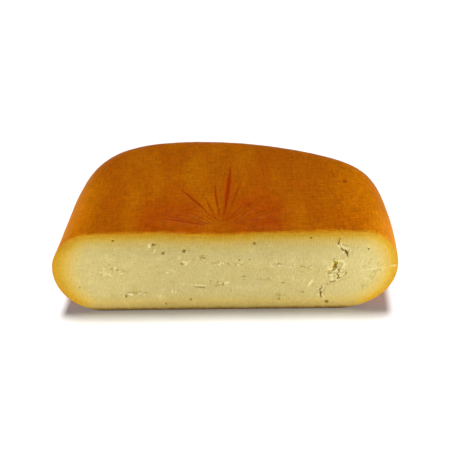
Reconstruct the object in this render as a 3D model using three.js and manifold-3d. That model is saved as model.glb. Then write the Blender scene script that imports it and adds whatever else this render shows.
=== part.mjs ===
// Half of a cloth-pressed cheese, in millimetres, +Z up.
// The whole cheese is a rounded square block. It is cut straight down beside the star of folds that the
// gathered cloth leaves in the middle of its top, and this half rests on its flat base.
// While it is shaped, the cut lies on y = 0, the back is towards +y and the base is on z = 0.

import * as THREE from "three";
import { mergeVertices, toCreasedNormals } from "three/addons/utils/BufferGeometryUtils.js";
import Module from "manifold-3d";

const { degToRad, lerp } = THREE.MathUtils;
const QUARTER_TURN = Math.PI / 2;
const HALF_TURN = Math.PI;

// Size of the half: along the cut, from the cut to the back, and from base to top
const HALF_WIDTH = 100;
const DEPTH = 119;
const HEIGHT = 59;

// Outline from above: a higher number is a squarer corner, and the left corner lies further back.
// The back and the sides bow, by shares of the depth and of the half width.
const SQUARENESS = { right: 11, left: 3.6 };
const BACK_SKEW = 0.09;
const BACK_BOW = 0.22;
const SIDE_BOW = { right: 0.03, left: -0.02 };

// Section at the right and left ends: how far the shoulder and the foot draw in, and where the waist is
const SHOULDER_REACH = { right: 23, left: 29 };
const FOOT_REACH = { right: 34, left: 28 };
const WAIST_HEIGHT = { right: 31, left: 30 };
const EDGE_ROUNDNESS = 2.1;
const CROWN = 0.5;

// The star of folds on the top: a shallow dimple with soft pleats round it
const STAR = new THREE.Vector2(-1.2, 8);
const DIMPLE = { depth: 1.8, radius: 22 };
const PLEAT = { height: 0.35, count: 17, radius: 26, fade: 3 };

// Creases that run out from the star: direction in degrees from +X, start and end from the star's middle
const CREASES = [
  { angle: 4, from: 12, to: 38, width: 1.6, depth: 0.6 },
  { angle: 22, from: 10, to: 33, width: 1.3, depth: 0.6 },
  { angle: 40, from: 9, to: 32, width: 1.4, depth: 0.6 },
  { angle: 58, from: 8, to: 29, width: 1.2, depth: 0.5 },
  { angle: 76, from: 15, to: 51, width: 1.5, depth: 0.6 },
  { angle: 85, from: 5, to: 63, width: 2.2, depth: 1.1 },
  { angle: 96, from: 7, to: 46, width: 1.3, depth: 0.7 },
  { angle: 110, from: 9, to: 30, width: 1.1, depth: 0.5 },
  { angle: 126, from: 8, to: 46, width: 1.7, depth: 0.9 },
  { angle: 145, from: 10, to: 28, width: 1.1, depth: 0.5 },
  { angle: 163, from: 11, to: 42, width: 1.3, depth: 0.6 },
  { angle: 170, from: 7, to: 37, width: 1.7, depth: 0.8 },
];
const CREASE_SWAY = 0.9;

// Cracks in the cut face: the x and z of each bend, the widest opening and the depth into the paste
const CRACKS = [
  { bends: [[64.3, 55.1], [64.2, 51.5], [66.2, 48.8], [68.7, 45.2], [70.8, 41.9]], width: 2.0, depth: 6 },
  { bends: [[62.6, 40.1], [63.8, 36.7], [63.3, 33.5], [62, 30.1]], width: 4.4, depth: 7 },
  { bends: [[66.8, 36.1], [65.5, 28.4], [67, 25.4], [64.2, 22.8], [59.6, 20.1]], width: 2.2, depth: 5 },
  { bends: [[71.8, 31], [70.9, 28.8], [69.1, 27]], width: 1.8, depth: 3 },
  { bends: [[58.6, 19.5], [56.1, 15.8], [57, 12.8], [58.5, 7.9]], width: 2.0, depth: 5 },
  { bends: [[-68.3, 37.3], [-64.4, 35.5], [-60.1, 31.7]], width: 1.1, depth: 1.6 },
  { bends: [[-21.3, 20.2], [-14.8, 19.6], [-9.3, 18.5]], width: 1.2, depth: 1.2 },
];

// Round eyes in the cut face: x, z and diameter
const EYES = [
  [-62.1, 55, 1.8],
  [-40, 51.8, 1.9],
  [-34.8, 45.6, 2.1],
  [-22.8, 47.2, 2.4],
  [-24.7, 37.5, 1.9],
  [16.6, 52.2, 2.0],
  [48.1, 55.6, 1.7],
  [-59.5, 12, 1.9],
  [-36, 5.4, 1.6],
  [-20.7, 8.6, 1.7],
  [32.2, 8.5, 1.8],
  [61.2, 5.8, 2.9],
];
const EYE_SINK = 0.25; // how far an eye's middle lies behind the cut, as a share of its diameter

// Fineness of the surface
const COLUMNS = 88;
const TOP_RINGS = 14;
const SHOULDER_RINGS = 14;
const FOOT_RINGS = 12;
const RING_CROWDING = 1.2; // over 1 draws the rings of the top towards its middle
const CREASE_STEPS = 6;
const SHARP_EDGE = degToRad(35);
const MERGE_DISTANCE = 1e-4;

// The blades that open creases and cracks: how full they are near the tips, and how far they stand out
const BLADE_FULLNESS = 0.6;
const BLADE_RISE = 3;

const wasm = await Module();
wasm.setup();

// A value between those of the right and left ends, at a turn round the half from the right end of the cut.
function betweenEnds(ends, turn) {
  return lerp(ends.right, ends.left, (1 - Math.cos(turn)) / 2);
}

// A point on the widest outline, seen from above.
function outlinePoint(turn) {
  const power = betweenEnds(SQUARENESS, turn);
  const along = Math.abs(Math.cos(turn)) / HALF_WIDTH;
  const behind = Math.abs(Math.sin(turn)) / DEPTH;
  const reach = (along ** power + behind ** power) ** (-1 / power);
  const across = (reach * Math.cos(turn)) / HALF_WIDTH;
  const back = (reach * Math.sin(turn)) / DEPTH;
  const sideBow = 4 * betweenEnds(SIDE_BOW, turn) * back * (1 - back);
  const backBow = -BACK_SKEW * across - BACK_BOW * across ** 2;
  return new THREE.Vector2(HALF_WIDTH * across * (1 + sideBow), DEPTH * back * (1 + backBow));
}

// Height of the top face at a point of it.
function topHeight(x, y) {
  const crown = CROWN * (1 - (x ** 2 + y ** 2) / HALF_WIDTH ** 2);
  const fromStar = new THREE.Vector2(x, y).sub(STAR);
  const dimple = DIMPLE.depth * Math.exp(-((fromStar.length() / DIMPLE.radius) ** 2));
  const share = fromStar.length() / PLEAT.radius;
  const swell = (share * Math.exp(1 - share)) ** PLEAT.fade;
  const pleat = PLEAT.height * swell * Math.cos(PLEAT.count * fromStar.angle());
  return HEIGHT + crown - dimple + pleat;
}

// A quarter of a rounded edge: how far, from 0 to 1, it has drawn in and risen at an angle from the waist.
function roundedEdge(angle) {
  const power = 2 / EDGE_ROUNDNESS;
  return { drawn: 1 - Math.cos(angle) ** power, risen: Math.sin(angle) ** power };
}

// One column of the skin at a turn, from the ring next to the top's middle down to the base.
function skinColumn(turn) {
  const outline = outlinePoint(turn);
  const reach = outline.length();
  const shoulder = betweenEnds(SHOULDER_REACH, turn);
  const foot = betweenEnds(FOOT_REACH, turn);
  const waist = betweenEnds(WAIST_HEIGHT, turn);
  const column = [];
  const place = (radius, height) => {
    const flat = outline.clone().setLength(radius);
    column.push(new THREE.Vector3(flat.x, flat.y, height ?? topHeight(flat.x, flat.y)));
  };
  for (let ring = 1; ring <= TOP_RINGS; ring++) {
    place((reach - shoulder) * (ring / TOP_RINGS) ** RING_CROWDING);
  }
  const rim = column.at(-1).z;
  for (let ring = SHOULDER_RINGS - 1; ring >= 0; ring--) {
    const edge = roundedEdge((QUARTER_TURN * ring) / SHOULDER_RINGS);
    place(reach - shoulder * edge.drawn, lerp(waist, rim, edge.risen));
  }
  for (let ring = 1; ring <= FOOT_RINGS; ring++) {
    const edge = roundedEdge((QUARTER_TURN * ring) / FOOT_RINGS);
    place(reach - foot * edge.drawn, ring < FOOT_RINGS ? lerp(waist, 0, edge.risen) : 0);
  }
  return column;
}

// The plain half: skin, cut face and base as one closed surface.
function halfBlock() {
  const columns = [];
  for (let c = 0; c <= COLUMNS; c++) columns.push(skinColumn((HALF_TURN * c) / COLUMNS));
  for (const point of [...columns[0], ...columns[COLUMNS]]) point.y = 0;
  const rings = columns[0].length;
  const at = (column, ring) => 1 + column * rings + ring;
  const points = [new THREE.Vector3(0, 0, topHeight(0, 0)), ...columns.flat()];
  const faces = [];
  for (let c = 0; c < COLUMNS; c++) {
    faces.push([0, at(c, 0), at(c + 1, 0)]);
    for (let r = 0; r < rings - 1; r++) {
      faces.push([at(c, r), at(c, r + 1), at(c + 1, r + 1)]);
      faces.push([at(c, r), at(c + 1, r + 1), at(c + 1, r)]);
    }
  }
  const fan = (edge, centre) => {
    points.push(centre);
    edge.forEach((corner, i) => faces.push([points.length - 1, corner, edge[(i + 1) % edge.length]]));
  };
  const rightEdge = columns[0].map((_, r) => at(0, r));
  const leftEdge = columns[COLUMNS].map((_, r) => at(COLUMNS, r));
  fan([0, ...leftEdge, ...rightEdge.reverse()], new THREE.Vector3(0, 0, HEIGHT / 2));
  fan(columns.map((_, c) => at(c, rings - 1)).reverse(), new THREE.Vector3(0, DEPTH / 4, 0));
  return solidOf(new THREE.BufferGeometry().setFromPoints(points).setIndex(faces.flat()));
}

// A solid from a closed geometry.
function solidOf(geometry) {
  geometry.deleteAttribute("normal").deleteAttribute("uv");
  const merged = mergeVertices(geometry, MERGE_DISTANCE);
  const vertProperties = merged.attributes.position.array;
  const triVerts = new Uint32Array(merged.index.array);
  return new wasm.Manifold(new wasm.Mesh({ numProp: 3, vertProperties, triVerts }));
}

// A blade along a path, pointed at both ends. Its keel lies up to `depth` below the path, against `outward`.
function blade(path, outward, width, depth) {
  const last = path.length - 1;
  const points = [];
  for (let i = 1; i < last; i++) {
    const ahead = path[i + 1].clone().sub(path[i - 1]);
    const sideways = new THREE.Vector3().crossVectors(ahead, outward).normalize();
    const swell = Math.sin((HALF_TURN * i) / last) ** BLADE_FULLNESS;
    points.push(path[i].clone().addScaledVector(sideways, (swell * width) / 2));
    points.push(path[i].clone().addScaledVector(outward, BLADE_RISE));
    points.push(path[i].clone().addScaledVector(sideways, (-swell * width) / 2));
    points.push(path[i].clone().addScaledVector(outward, -swell * depth));
  }
  const corners = 4;
  const start = points.push(path[0]) - 1;
  const end = points.push(path[last]) - 1;
  const faces = [];
  for (let k = 0; k < corners; k++) {
    const next = (k + 1) % corners;
    for (let row = 0; row < start - corners; row += corners) {
      faces.push([row + k, row + corners + k, row + corners + next]);
      faces.push([row + k, row + corners + next, row + next]);
    }
    faces.push([start, k, next]);
    faces.push([end, start - corners + next, start - corners + k]);
  }
  return solidOf(new THREE.BufferGeometry().setFromPoints(points).setIndex(faces.flat()));
}

// The blade of one crease, laid on the top face with a slight sway.
function creaseBlade({ angle, from, to, width, depth }) {
  const turn = degToRad(angle);
  const path = [];
  for (let step = 0; step <= CREASE_STEPS; step++) {
    const share = step / CREASE_STEPS;
    const sway = CREASE_SWAY * Math.sin(HALF_TURN * share) * Math.cos(angle);
    const flat = new THREE.Vector2(lerp(from, to, share), sway).add(STAR).rotateAround(STAR, turn);
    path.push(new THREE.Vector3(flat.x, flat.y, topHeight(flat.x, flat.y)));
  }
  return blade(path, new THREE.Vector3(0, 0, 1), width, depth);
}

// The blade of one crack, laid on the cut face.
function crackBlade({ bends, width, depth }) {
  const path = bends.map(([x, z]) => new THREE.Vector3(x, 0, z));
  return blade(path, new THREE.Vector3(0, -1, 0), width, depth);
}

// The ball that opens one eye.
function eyeBall([x, z, diameter]) {
  return solidOf(new THREE.IcosahedronGeometry(diameter / 2, 1).translate(x, diameter * EYE_SINK, z));
}

// The half with its creases, cracks and eyes opened.
function halfCheese() {
  const cutters = [...CREASES.map(creaseBlade), ...CRACKS.map(crackBlade), ...EYES.map(eyeBall)];
  const mesh = cutters.reduce((body, cutter) => body.subtract(cutter), halfBlock()).getMesh();
  const geometry = new THREE.BufferGeometry();
  geometry.setAttribute("position", new THREE.BufferAttribute(mesh.vertProperties, mesh.numProp));
  geometry.setIndex(new THREE.BufferAttribute(mesh.triVerts, 1));
  return toCreasedNormals(geometry, SHARP_EDGE);
}

const rind = new THREE.MeshStandardMaterial({ color: 0xaa5c05, roughness: 0.55, metalness: 0 });
const cheese = new THREE.Mesh(halfCheese(), rind);
cheese.name = "half_cheese";

// The part's origin is on the base, below the middle of its bounding box.
const box = new THREE.Box3().setFromObject(cheese);
const middle = box.getCenter(new THREE.Vector3());
cheese.position.set(-middle.x, -middle.y, -box.min.z);

const part = new THREE.Group();
part.add(cheese);

export default part;
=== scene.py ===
"""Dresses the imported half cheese: an oiled, cloth-pressed rind and a crumbly cream paste."""

from __future__ import annotations

import logging
import math
import random
from dataclasses import dataclass, field
from enum import Enum
from typing import Any, Callable, Mapping, Sequence, TypeVar, Union

import bpy
import numpy as np
from mathutils import Matrix, Vector
from mathutils.geometry import delaunay_2d_cdt

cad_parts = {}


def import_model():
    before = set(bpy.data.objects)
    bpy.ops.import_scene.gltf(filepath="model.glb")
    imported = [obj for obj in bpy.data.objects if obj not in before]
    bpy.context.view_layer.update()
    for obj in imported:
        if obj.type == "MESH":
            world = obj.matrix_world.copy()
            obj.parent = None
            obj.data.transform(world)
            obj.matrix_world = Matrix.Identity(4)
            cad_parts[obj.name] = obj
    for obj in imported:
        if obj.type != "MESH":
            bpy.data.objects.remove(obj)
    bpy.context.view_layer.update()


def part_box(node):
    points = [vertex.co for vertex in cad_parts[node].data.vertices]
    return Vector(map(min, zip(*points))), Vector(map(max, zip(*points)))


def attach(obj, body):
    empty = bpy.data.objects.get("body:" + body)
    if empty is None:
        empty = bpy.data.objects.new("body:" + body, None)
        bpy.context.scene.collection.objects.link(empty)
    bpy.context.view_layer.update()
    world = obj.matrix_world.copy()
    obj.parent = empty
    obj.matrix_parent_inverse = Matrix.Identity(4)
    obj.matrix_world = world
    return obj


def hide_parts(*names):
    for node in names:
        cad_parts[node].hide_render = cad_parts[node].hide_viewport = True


MM = 0.001
NODE = "half_cheese"
BODY = "root"
BAKE_MAP = "OFBake"
QUARTER_TURN = math.pi / 2
OUTLINE_STEPS = 720
TINY = 1e-9
# The middle of a noise and of a random draw, which both lie between 0 and 1.
MIDDLE = 0.5
# The triangulation's choice that keeps only what lies inside the outline.
FILL_INSIDE = 1

log = logging.getLogger("half_cheese_scene")

Colour = tuple[int, int, int]
Number = Union["Wire", float]
Made = TypeVar("Made")


def paint(colour: Colour) -> tuple[float, float, float, float]:
    """Turn a screen colour into the linear colour that a shader takes.

    Args:
        colour: Red, green and blue from 0 to 255.

    Returns:
        Linear red, green, blue and alpha from 0 to 1.
    """
    shares = [channel / 255 for channel in colour]
    linear = [s / 12.92 if s <= 0.04045 else ((s + 0.055) / 1.055) ** 2.4 for s in shares]
    return (*linear, 1.0)


def rows(kind: Callable[..., Made], *values: Sequence[Any]) -> tuple[Made, ...]:
    """Make one thing of a kind from each row of values."""
    return tuple(kind(*row) for row in values)


@dataclass(frozen=True)
class Passage:
    """A smooth passage of a value: where it starts and ends, and the result before and after it."""

    start: float
    end: float
    low: float = 0.0
    high: float = 1.0


@dataclass(frozen=True)
class Grain:
    """A noise: the size of its lumps in millimetres, its finer layers, their strength and its stretch."""

    size: float
    detail: float = 2.0
    roughness: float = 0.5
    stretch: tuple[float, float, float] | None = None


@dataclass(frozen=True)
class Line:
    """A straight rule: a value times the slope, plus the base."""

    slope: float
    base: float

    def at(self, value: Wire) -> Wire:
        """Apply the rule to a value."""
        return value * self.slope + self.base


class Wire:
    """An output socket of a node tree, with arithmetic that adds Math nodes."""

    def __init__(self, graph: Graph, socket: bpy.types.NodeSocket) -> None:
        """Keep the socket and the graph that it belongs to."""
        self.graph = graph
        self.socket = socket

    def __add__(self, other: Number) -> Wire:
        """Add a value to this one."""
        return self.graph.math("ADD", self, other)

    def __radd__(self, other: Number) -> Wire:
        """Add this value to a number."""
        return self.graph.math("ADD", other, self)

    def __sub__(self, other: Number) -> Wire:
        """Take a value from this one."""
        return self.graph.math("SUBTRACT", self, other)

    def __rsub__(self, other: Number) -> Wire:
        """Take this value from a number."""
        return self.graph.math("SUBTRACT", other, self)

    def __mul__(self, other: Number) -> Wire:
        """Multiply this value by another."""
        return self.graph.math("MULTIPLY", self, other)

    def __rmul__(self, other: Number) -> Wire:
        """Multiply a number by this value."""
        return self.graph.math("MULTIPLY", other, self)

    def __truediv__(self, other: Number) -> Wire:
        """Divide this value by another."""
        return self.graph.math("DIVIDE", self, other)

    def __rtruediv__(self, other: Number) -> Wire:
        """Divide a number by this value."""
        return self.graph.math("DIVIDE", other, self)

    def __neg__(self) -> Wire:
        """Turn this value's sign."""
        return self.graph.math("MULTIPLY", self, -1.0)

    def __abs__(self) -> Wire:
        """Drop this value's sign."""
        return self.graph.math("ABSOLUTE", self)


class Block:
    """A node whose outputs are read by name as wires."""

    def __init__(self, graph: Graph, node: bpy.types.Node) -> None:
        """Keep the node and its graph."""
        self.graph = graph
        self.node = node

    def __getitem__(self, label: str) -> Wire:
        """Give the output with that name or identifier."""
        return Wire(self.graph, find_socket(self.node.outputs, label))


def find_socket(sockets: Sequence[bpy.types.NodeSocket], label: str) -> bpy.types.NodeSocket:
    """Find a socket that is in use.

    Args:
        sockets: A node's inputs or outputs.
        label: The socket's identifier or name.

    Returns:
        The first socket in use that answers to the label, by identifier before name.
    """
    live = [socket for socket in sockets if socket.enabled]
    matches = [s for s in live if s.identifier == label] + [s for s in live if s.name == label]
    return matches[0]


class Graph:
    """Builds one node tree, for a material or for geometry."""

    def __init__(self, tree: bpy.types.NodeTree) -> None:
        """Keep the tree that nodes are added to."""
        self.tree = tree

    def add(
        self,
        kind: str,
        settings: Mapping[str, Any] | None = None,
        sockets: Mapping[str, Any] | None = None,
    ) -> Block:
        """Add a node.

        Args:
            kind: The node's type name.
            settings: Properties of the node, set first. The stops of a ramp are places and screen colours.
            sockets: A value or a wire for each input that isn't left as it is.

        Returns:
            The node as a block.
        """
        node = self.tree.nodes.new(kind)
        for name, value in (settings or {}).items():
            if name == "stops":
                self._set_stops(node.color_ramp, value)
            else:
                setattr(node, name, value)
        for label, value in (sockets or {}).items():
            socket = find_socket(node.inputs, label)
            if isinstance(value, Wire):
                self.tree.links.new(value.socket, socket)
            else:
                socket.default_value = value
        return Block(self, node)

    @staticmethod
    def _set_stops(ramp: bpy.types.ColorRamp, stops: Sequence[tuple[float, Colour]]) -> None:
        """Give a ramp its stops.

        Args:
            ramp: The ramp of a node, which has two stops at first.
            stops: Places from 0 to 1 with their screen colours, at least two.
        """
        for _ in stops[2:]:
            ramp.elements.new(1.0)
        for element, (place, colour) in zip(ramp.elements, stops):
            element.position = place
            element.color = paint(colour)

    def math(self, operation: str, *values: Number) -> Wire:
        """Add a Math node.

        Args:
            operation: The node's operation.
            values: Its inputs in order.

        Returns:
            The result.
        """
        labels = ("Value", "Value_001")
        return self.add("ShaderNodeMath", {"operation": operation}, dict(zip(labels, values)))["Value"]

    def vector(self, operation: str, output: str = "Vector", **values: Any) -> Wire:
        """Add a Vector Math node.

        Args:
            operation: The node's operation.
            output: The output to read, Vector or Value.
            values: Its inputs by identifier.

        Returns:
            The result.
        """
        return self.add("ShaderNodeVectorMath", {"operation": operation}, values)[output]

    def axes(self, place: Wire) -> Block:
        """Take a vector apart into its X, Y and Z."""
        return self.add("ShaderNodeSeparateXYZ", None, {"Vector": place})

    def ease(
        self, value: Number, start: Number, end: Number, low: Number = 0.0, high: Number = 1.0
    ) -> Wire:
        """Pass smoothly from one value to another.

        Args:
            value: What is read.
            start: Where the passage starts.
            end: Where it ends.
            low: The result up to the start.
            high: The result from the end on.

        Returns:
            The eased value.
        """
        sockets = {"Value": value, "From Min": start, "From Max": end, "To Min": low, "To Max": high}
        return self.add("ShaderNodeMapRange", {"interpolation_type": "SMOOTHSTEP"}, sockets)["Result"]

    def fade(self, value: Number, start: Number, end: Number) -> Wire:
        """Pass smoothly from 1 at the start to 0 at the end."""
        return self.ease(value, start, end, 1.0, 0.0)

    def through(self, value: Number, passage: Passage) -> Wire:
        """Lead a value through a passage."""
        return self.ease(value, passage.start, passage.end, passage.low, passage.high)

    def noise(self, place: Wire, grain: Grain) -> Wire:
        """Add a noise.

        Args:
            place: Where it is read, in millimetres.
            grain: Its form.

        Returns:
            A value around MIDDLE.
        """
        if grain.stretch is not None:
            place = self.vector("MULTIPLY", Vector=place, Vector_001=grain.stretch)
        sockets = {"Vector": place, "Scale": 1 / grain.size}
        sockets |= {"Detail": grain.detail, "Roughness": grain.roughness}
        return self.add("ShaderNodeTexNoise", {"noise_dimensions": "3D"}, sockets)["Fac"]


class ShaderGraph(Graph):
    """Builds the shader of a material or of the world."""

    def __init__(self, owner: Union[bpy.types.Material, bpy.types.World]) -> None:
        """Start with an empty tree.

        Args:
            owner: The material or the world.
        """
        owner.use_nodes = True
        owner.node_tree.nodes.clear()
        super().__init__(owner.node_tree)

    def number(self, label: str) -> Wire:
        """Read a number that the mesh stores under a name."""
        return self.add("ShaderNodeAttribute", {"attribute_name": label})["Fac"]

    def mix(self, share: Number, first: Any, second: Any) -> Wire:
        """Mix two colours.

        Args:
            share: How much of the second colour there is, from 0 to 1.
            first: A wire or a linear colour.
            second: A wire or a linear colour.

        Returns:
            The mixed colour.
        """
        sockets = {"Factor": share, "A": first, "B": second}
        return self.add("ShaderNodeMix", {"data_type": "RGBA"}, sockets)["Result"]

    def lay(self, under: Wire, colour: Colour, mask: Number) -> Wire:
        """Lay a screen colour over another colour, as strongly as a mask says."""
        return self.mix(mask, under, paint(colour))

    def shade(self, colour: Wire, factor: Wire) -> Wire:
        """Make a colour lighter or darker."""
        return self.vector("SCALE", Vector=colour, Scale=factor)

    def close(self, shader: Wire, output: str = "ShaderNodeOutputMaterial") -> None:
        """Lead a shader to an output node of that type."""
        self.add(output, None, {"Surface": shader})


class GeometryGraph(Graph):
    """Builds a geometry tree with named inputs, and applies it to an object.

    Its place is that of each point in millimetres, whichever geometry it is read on.
    """

    def __init__(self, name: str, inputs: Mapping[str, str]) -> None:
        """Start the tree.

        Args:
            name: The tree's name.
            inputs: The name of each input after the geometry, with its socket type.
        """
        super().__init__(bpy.data.node_groups.new(name, "GeometryNodeTree"))
        interface = self.tree.interface
        interface.new_socket("Geometry", in_out="OUTPUT", socket_type="NodeSocketGeometry")
        interface.new_socket("Geometry", in_out="INPUT", socket_type="NodeSocketGeometry")
        for label, kind in {**inputs, "Material": "NodeSocketMaterial"}.items():
            interface.new_socket(label, in_out="INPUT", socket_type=kind)
        self.inputs = self.add("NodeGroupInput")
        position = self.add("GeometryNodeInputPosition")["Position"]
        self.place = self.vector("SCALE", Vector=position, Scale=1 / MM)

    def named(self, label: str) -> Wire:
        """Read a number that the mesh stores under a name."""
        node = self.add("GeometryNodeInputNamedAttribute", {"data_type": "FLOAT"}, {"Name": label})
        return node["Attribute"]

    def shape_of(self, source: str) -> Wire:
        """Give the geometry of the object that an input names."""
        return self.add("GeometryNodeObjectInfo", None, {"Object": self.inputs[source]})["Geometry"]

    def store(self, geometry: Wire, numbers: Mapping[str, Number]) -> Wire:
        """Store numbers on each point.

        Args:
            geometry: The geometry that takes them.
            numbers: Each number with the name that it is stored under.

        Returns:
            The geometry with the numbers stored.
        """
        settings = {"data_type": "FLOAT", "domain": "POINT"}
        for label, value in numbers.items():
            sockets = {"Geometry": geometry, "Name": label, "Value": value}
            geometry = self.add("GeometryNodeStoreNamedAttribute", settings, sockets)["Geometry"]
        return geometry

    def move(self, geometry: Wire, direction: Wire, reach: Number) -> Wire:
        """Shift the points of a geometry.

        Args:
            geometry: The geometry.
            direction: The way that each point goes.
            reach: How far it goes, in millimetres.

        Returns:
            The shifted geometry.
        """
        offset = self.vector("SCALE", Vector=direction, Scale=reach * MM)
        sockets = {"Geometry": geometry, "Offset": offset}
        return self.add("GeometryNodeSetPosition", None, sockets)["Geometry"]

    def ruffle(self, geometry: Wire, grain: Grain, reach: Number) -> Wire:
        """Shift each point of a geometry by chance.

        Args:
            geometry: The geometry.
            grain: The noise that shifts them.
            reach: How far they go, in millimetres.

        Returns:
            The ruffled geometry.
        """
        settings = {"noise_dimensions": "3D", "normalize": False}
        sockets = {"Vector": self.place, "Scale": 1 / grain.size, "Detail": grain.detail}
        return self.move(geometry, self.add("ShaderNodeTexNoise", settings, sockets)["Color"], reach)

    def close(self, geometry: Wire) -> None:
        """Realize the geometry, give it its material and lead it out of the tree.

        Args:
            geometry: What the tree has made.
        """
        whole = self.add("GeometryNodeRealizeInstances", None, {"Geometry": geometry})["Geometry"]
        sockets = {"Geometry": whole, "Material": self.inputs["Material"]}
        dressed = self.add("GeometryNodeSetMaterial", None, sockets)["Geometry"]
        self.add("NodeGroupOutput", None, {"Geometry": dressed})

    def apply(self, target: bpy.types.Object, values: Mapping[str, Any]) -> bpy.types.Mesh:
        """Run the tree on an object.

        Args:
            target: The object that gives the geometry.
            values: A value for each named input.

        Returns:
            The result as a plain mesh. The object keeps no modifier.
        """
        modifier = target.modifiers.new(self.tree.name, "NODES")
        modifier.node_group = self.tree
        for item in self.tree.interface.items_tree:
            if item.in_out == "INPUT" and item.name in values:
                modifier[item.identifier] = values[item.name]
        depsgraph = bpy.context.evaluated_depsgraph_get()
        shaped = target.evaluated_get(depsgraph)
        mesh = bpy.data.meshes.new_from_object(shaped, preserve_all_data_layers=True, depsgraph=depsgraph)
        target.modifiers.remove(modifier)
        return mesh


class Domain(Enum):
    """What a mesh's numbers belong to. The value is Blender's own name."""

    POINT = "POINT"
    CORNER = "CORNER"


def store_numbers(mesh: bpy.types.Mesh, numbers: Mapping[str, Any], domain: Domain = Domain.POINT) -> None:
    """Store named numbers on a mesh.

    Args:
        mesh: The mesh.
        numbers: Values under each name, one for each point or corner.
        domain: What they belong to.
    """
    for label, values in numbers.items():
        attribute = mesh.attributes.new(label, "FLOAT", domain.value)
        attribute.data.foreach_set("value", np.asarray(values, np.float32))


def put_in_scene(name: str, data: bpy.types.ID) -> bpy.types.Object:
    """Make an object and link it to the scene.

    Args:
        name: The object's name.
        data: Its mesh, camera or light.

    Returns:
        The object.
    """
    made = bpy.data.objects.new(name, data)
    bpy.context.scene.collection.objects.link(made)
    return made


def look_at(place: Vector, aim: Vector) -> Matrix:
    """Stand a camera or a light at a place, facing another."""
    return Matrix.Translation(place) @ (aim - place).to_track_quat("-Z", "Y").to_matrix().to_4x4()


def lengths_along(path: np.ndarray) -> np.ndarray:
    """Give the length of a path from its start to each of its points."""
    return np.concatenate([[0], np.cumsum(np.linalg.norm(np.diff(path, axis=0), axis=1))])


def gap_to_path(points: np.ndarray, path: np.ndarray) -> np.ndarray:
    """Measure the distance from points to a path.

    Args:
        points: The points, two numbers each.
        path: The path's points in order.

    Returns:
        The shortest distance for each point.
    """
    best = np.full(len(points), np.inf)
    for start, end in zip(path[:-1], path[1:]):
        run = end - start
        share = np.clip((points - start) @ run / max(run @ run, TINY), 0, 1)
        best = np.minimum(best, np.linalg.norm(points - start - share[:, None] * run, axis=1))
    return best


def lies_inside(points: np.ndarray, loop: np.ndarray) -> np.ndarray:
    """Test which points lie inside a closed outline.

    Args:
        points: The points, two numbers each.
        loop: The outline's points in order.

    Returns:
        True for each point inside.
    """
    within = np.zeros(len(points), bool)
    for start, end in zip(loop, np.roll(loop, -1, axis=0)):
        spans = (start[1] > points[:, 1]) != (end[1] > points[:, 1])
        rise = end[1] - start[1]
        if abs(rise) > TINY:
            crossing = start[0] + (points[:, 1] - start[1]) * (end[0] - start[0]) / rise
            within ^= spans & (points[:, 0] < crossing)
    return within


def rise_smoothly(value: np.ndarray, end: float) -> np.ndarray:
    """Pass smoothly from 0, where a value is 0, to 1 where it reaches the end."""
    share = np.clip(value / end, 0, 1)
    return share * share * (3 - 2 * share)


def on_cut(flat: np.ndarray) -> np.ndarray:
    """Stand points of the section, x and z, on the cut face."""
    return np.column_stack([flat[:, 0], np.zeros(len(flat)), flat[:, 1]])


def on_base(flat: np.ndarray) -> np.ndarray:
    """Lay points of the plan, x and y, on the base."""
    return np.column_stack([flat, np.zeros(len(flat))])


def closed(loop: np.ndarray) -> np.ndarray:
    """Lead an outline back to its first point."""
    return np.concatenate([loop, loop[:1]])


@dataclass(frozen=True)
class Ends:
    """A value at the right and left ends of the cut."""

    right: float
    left: float

    def at(self, turn: np.ndarray) -> np.ndarray:
        """Blend the two values at a turn round the half from the right end."""
        return self.right + (self.left - self.right) * (1 - np.cos(turn)) / 2


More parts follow.
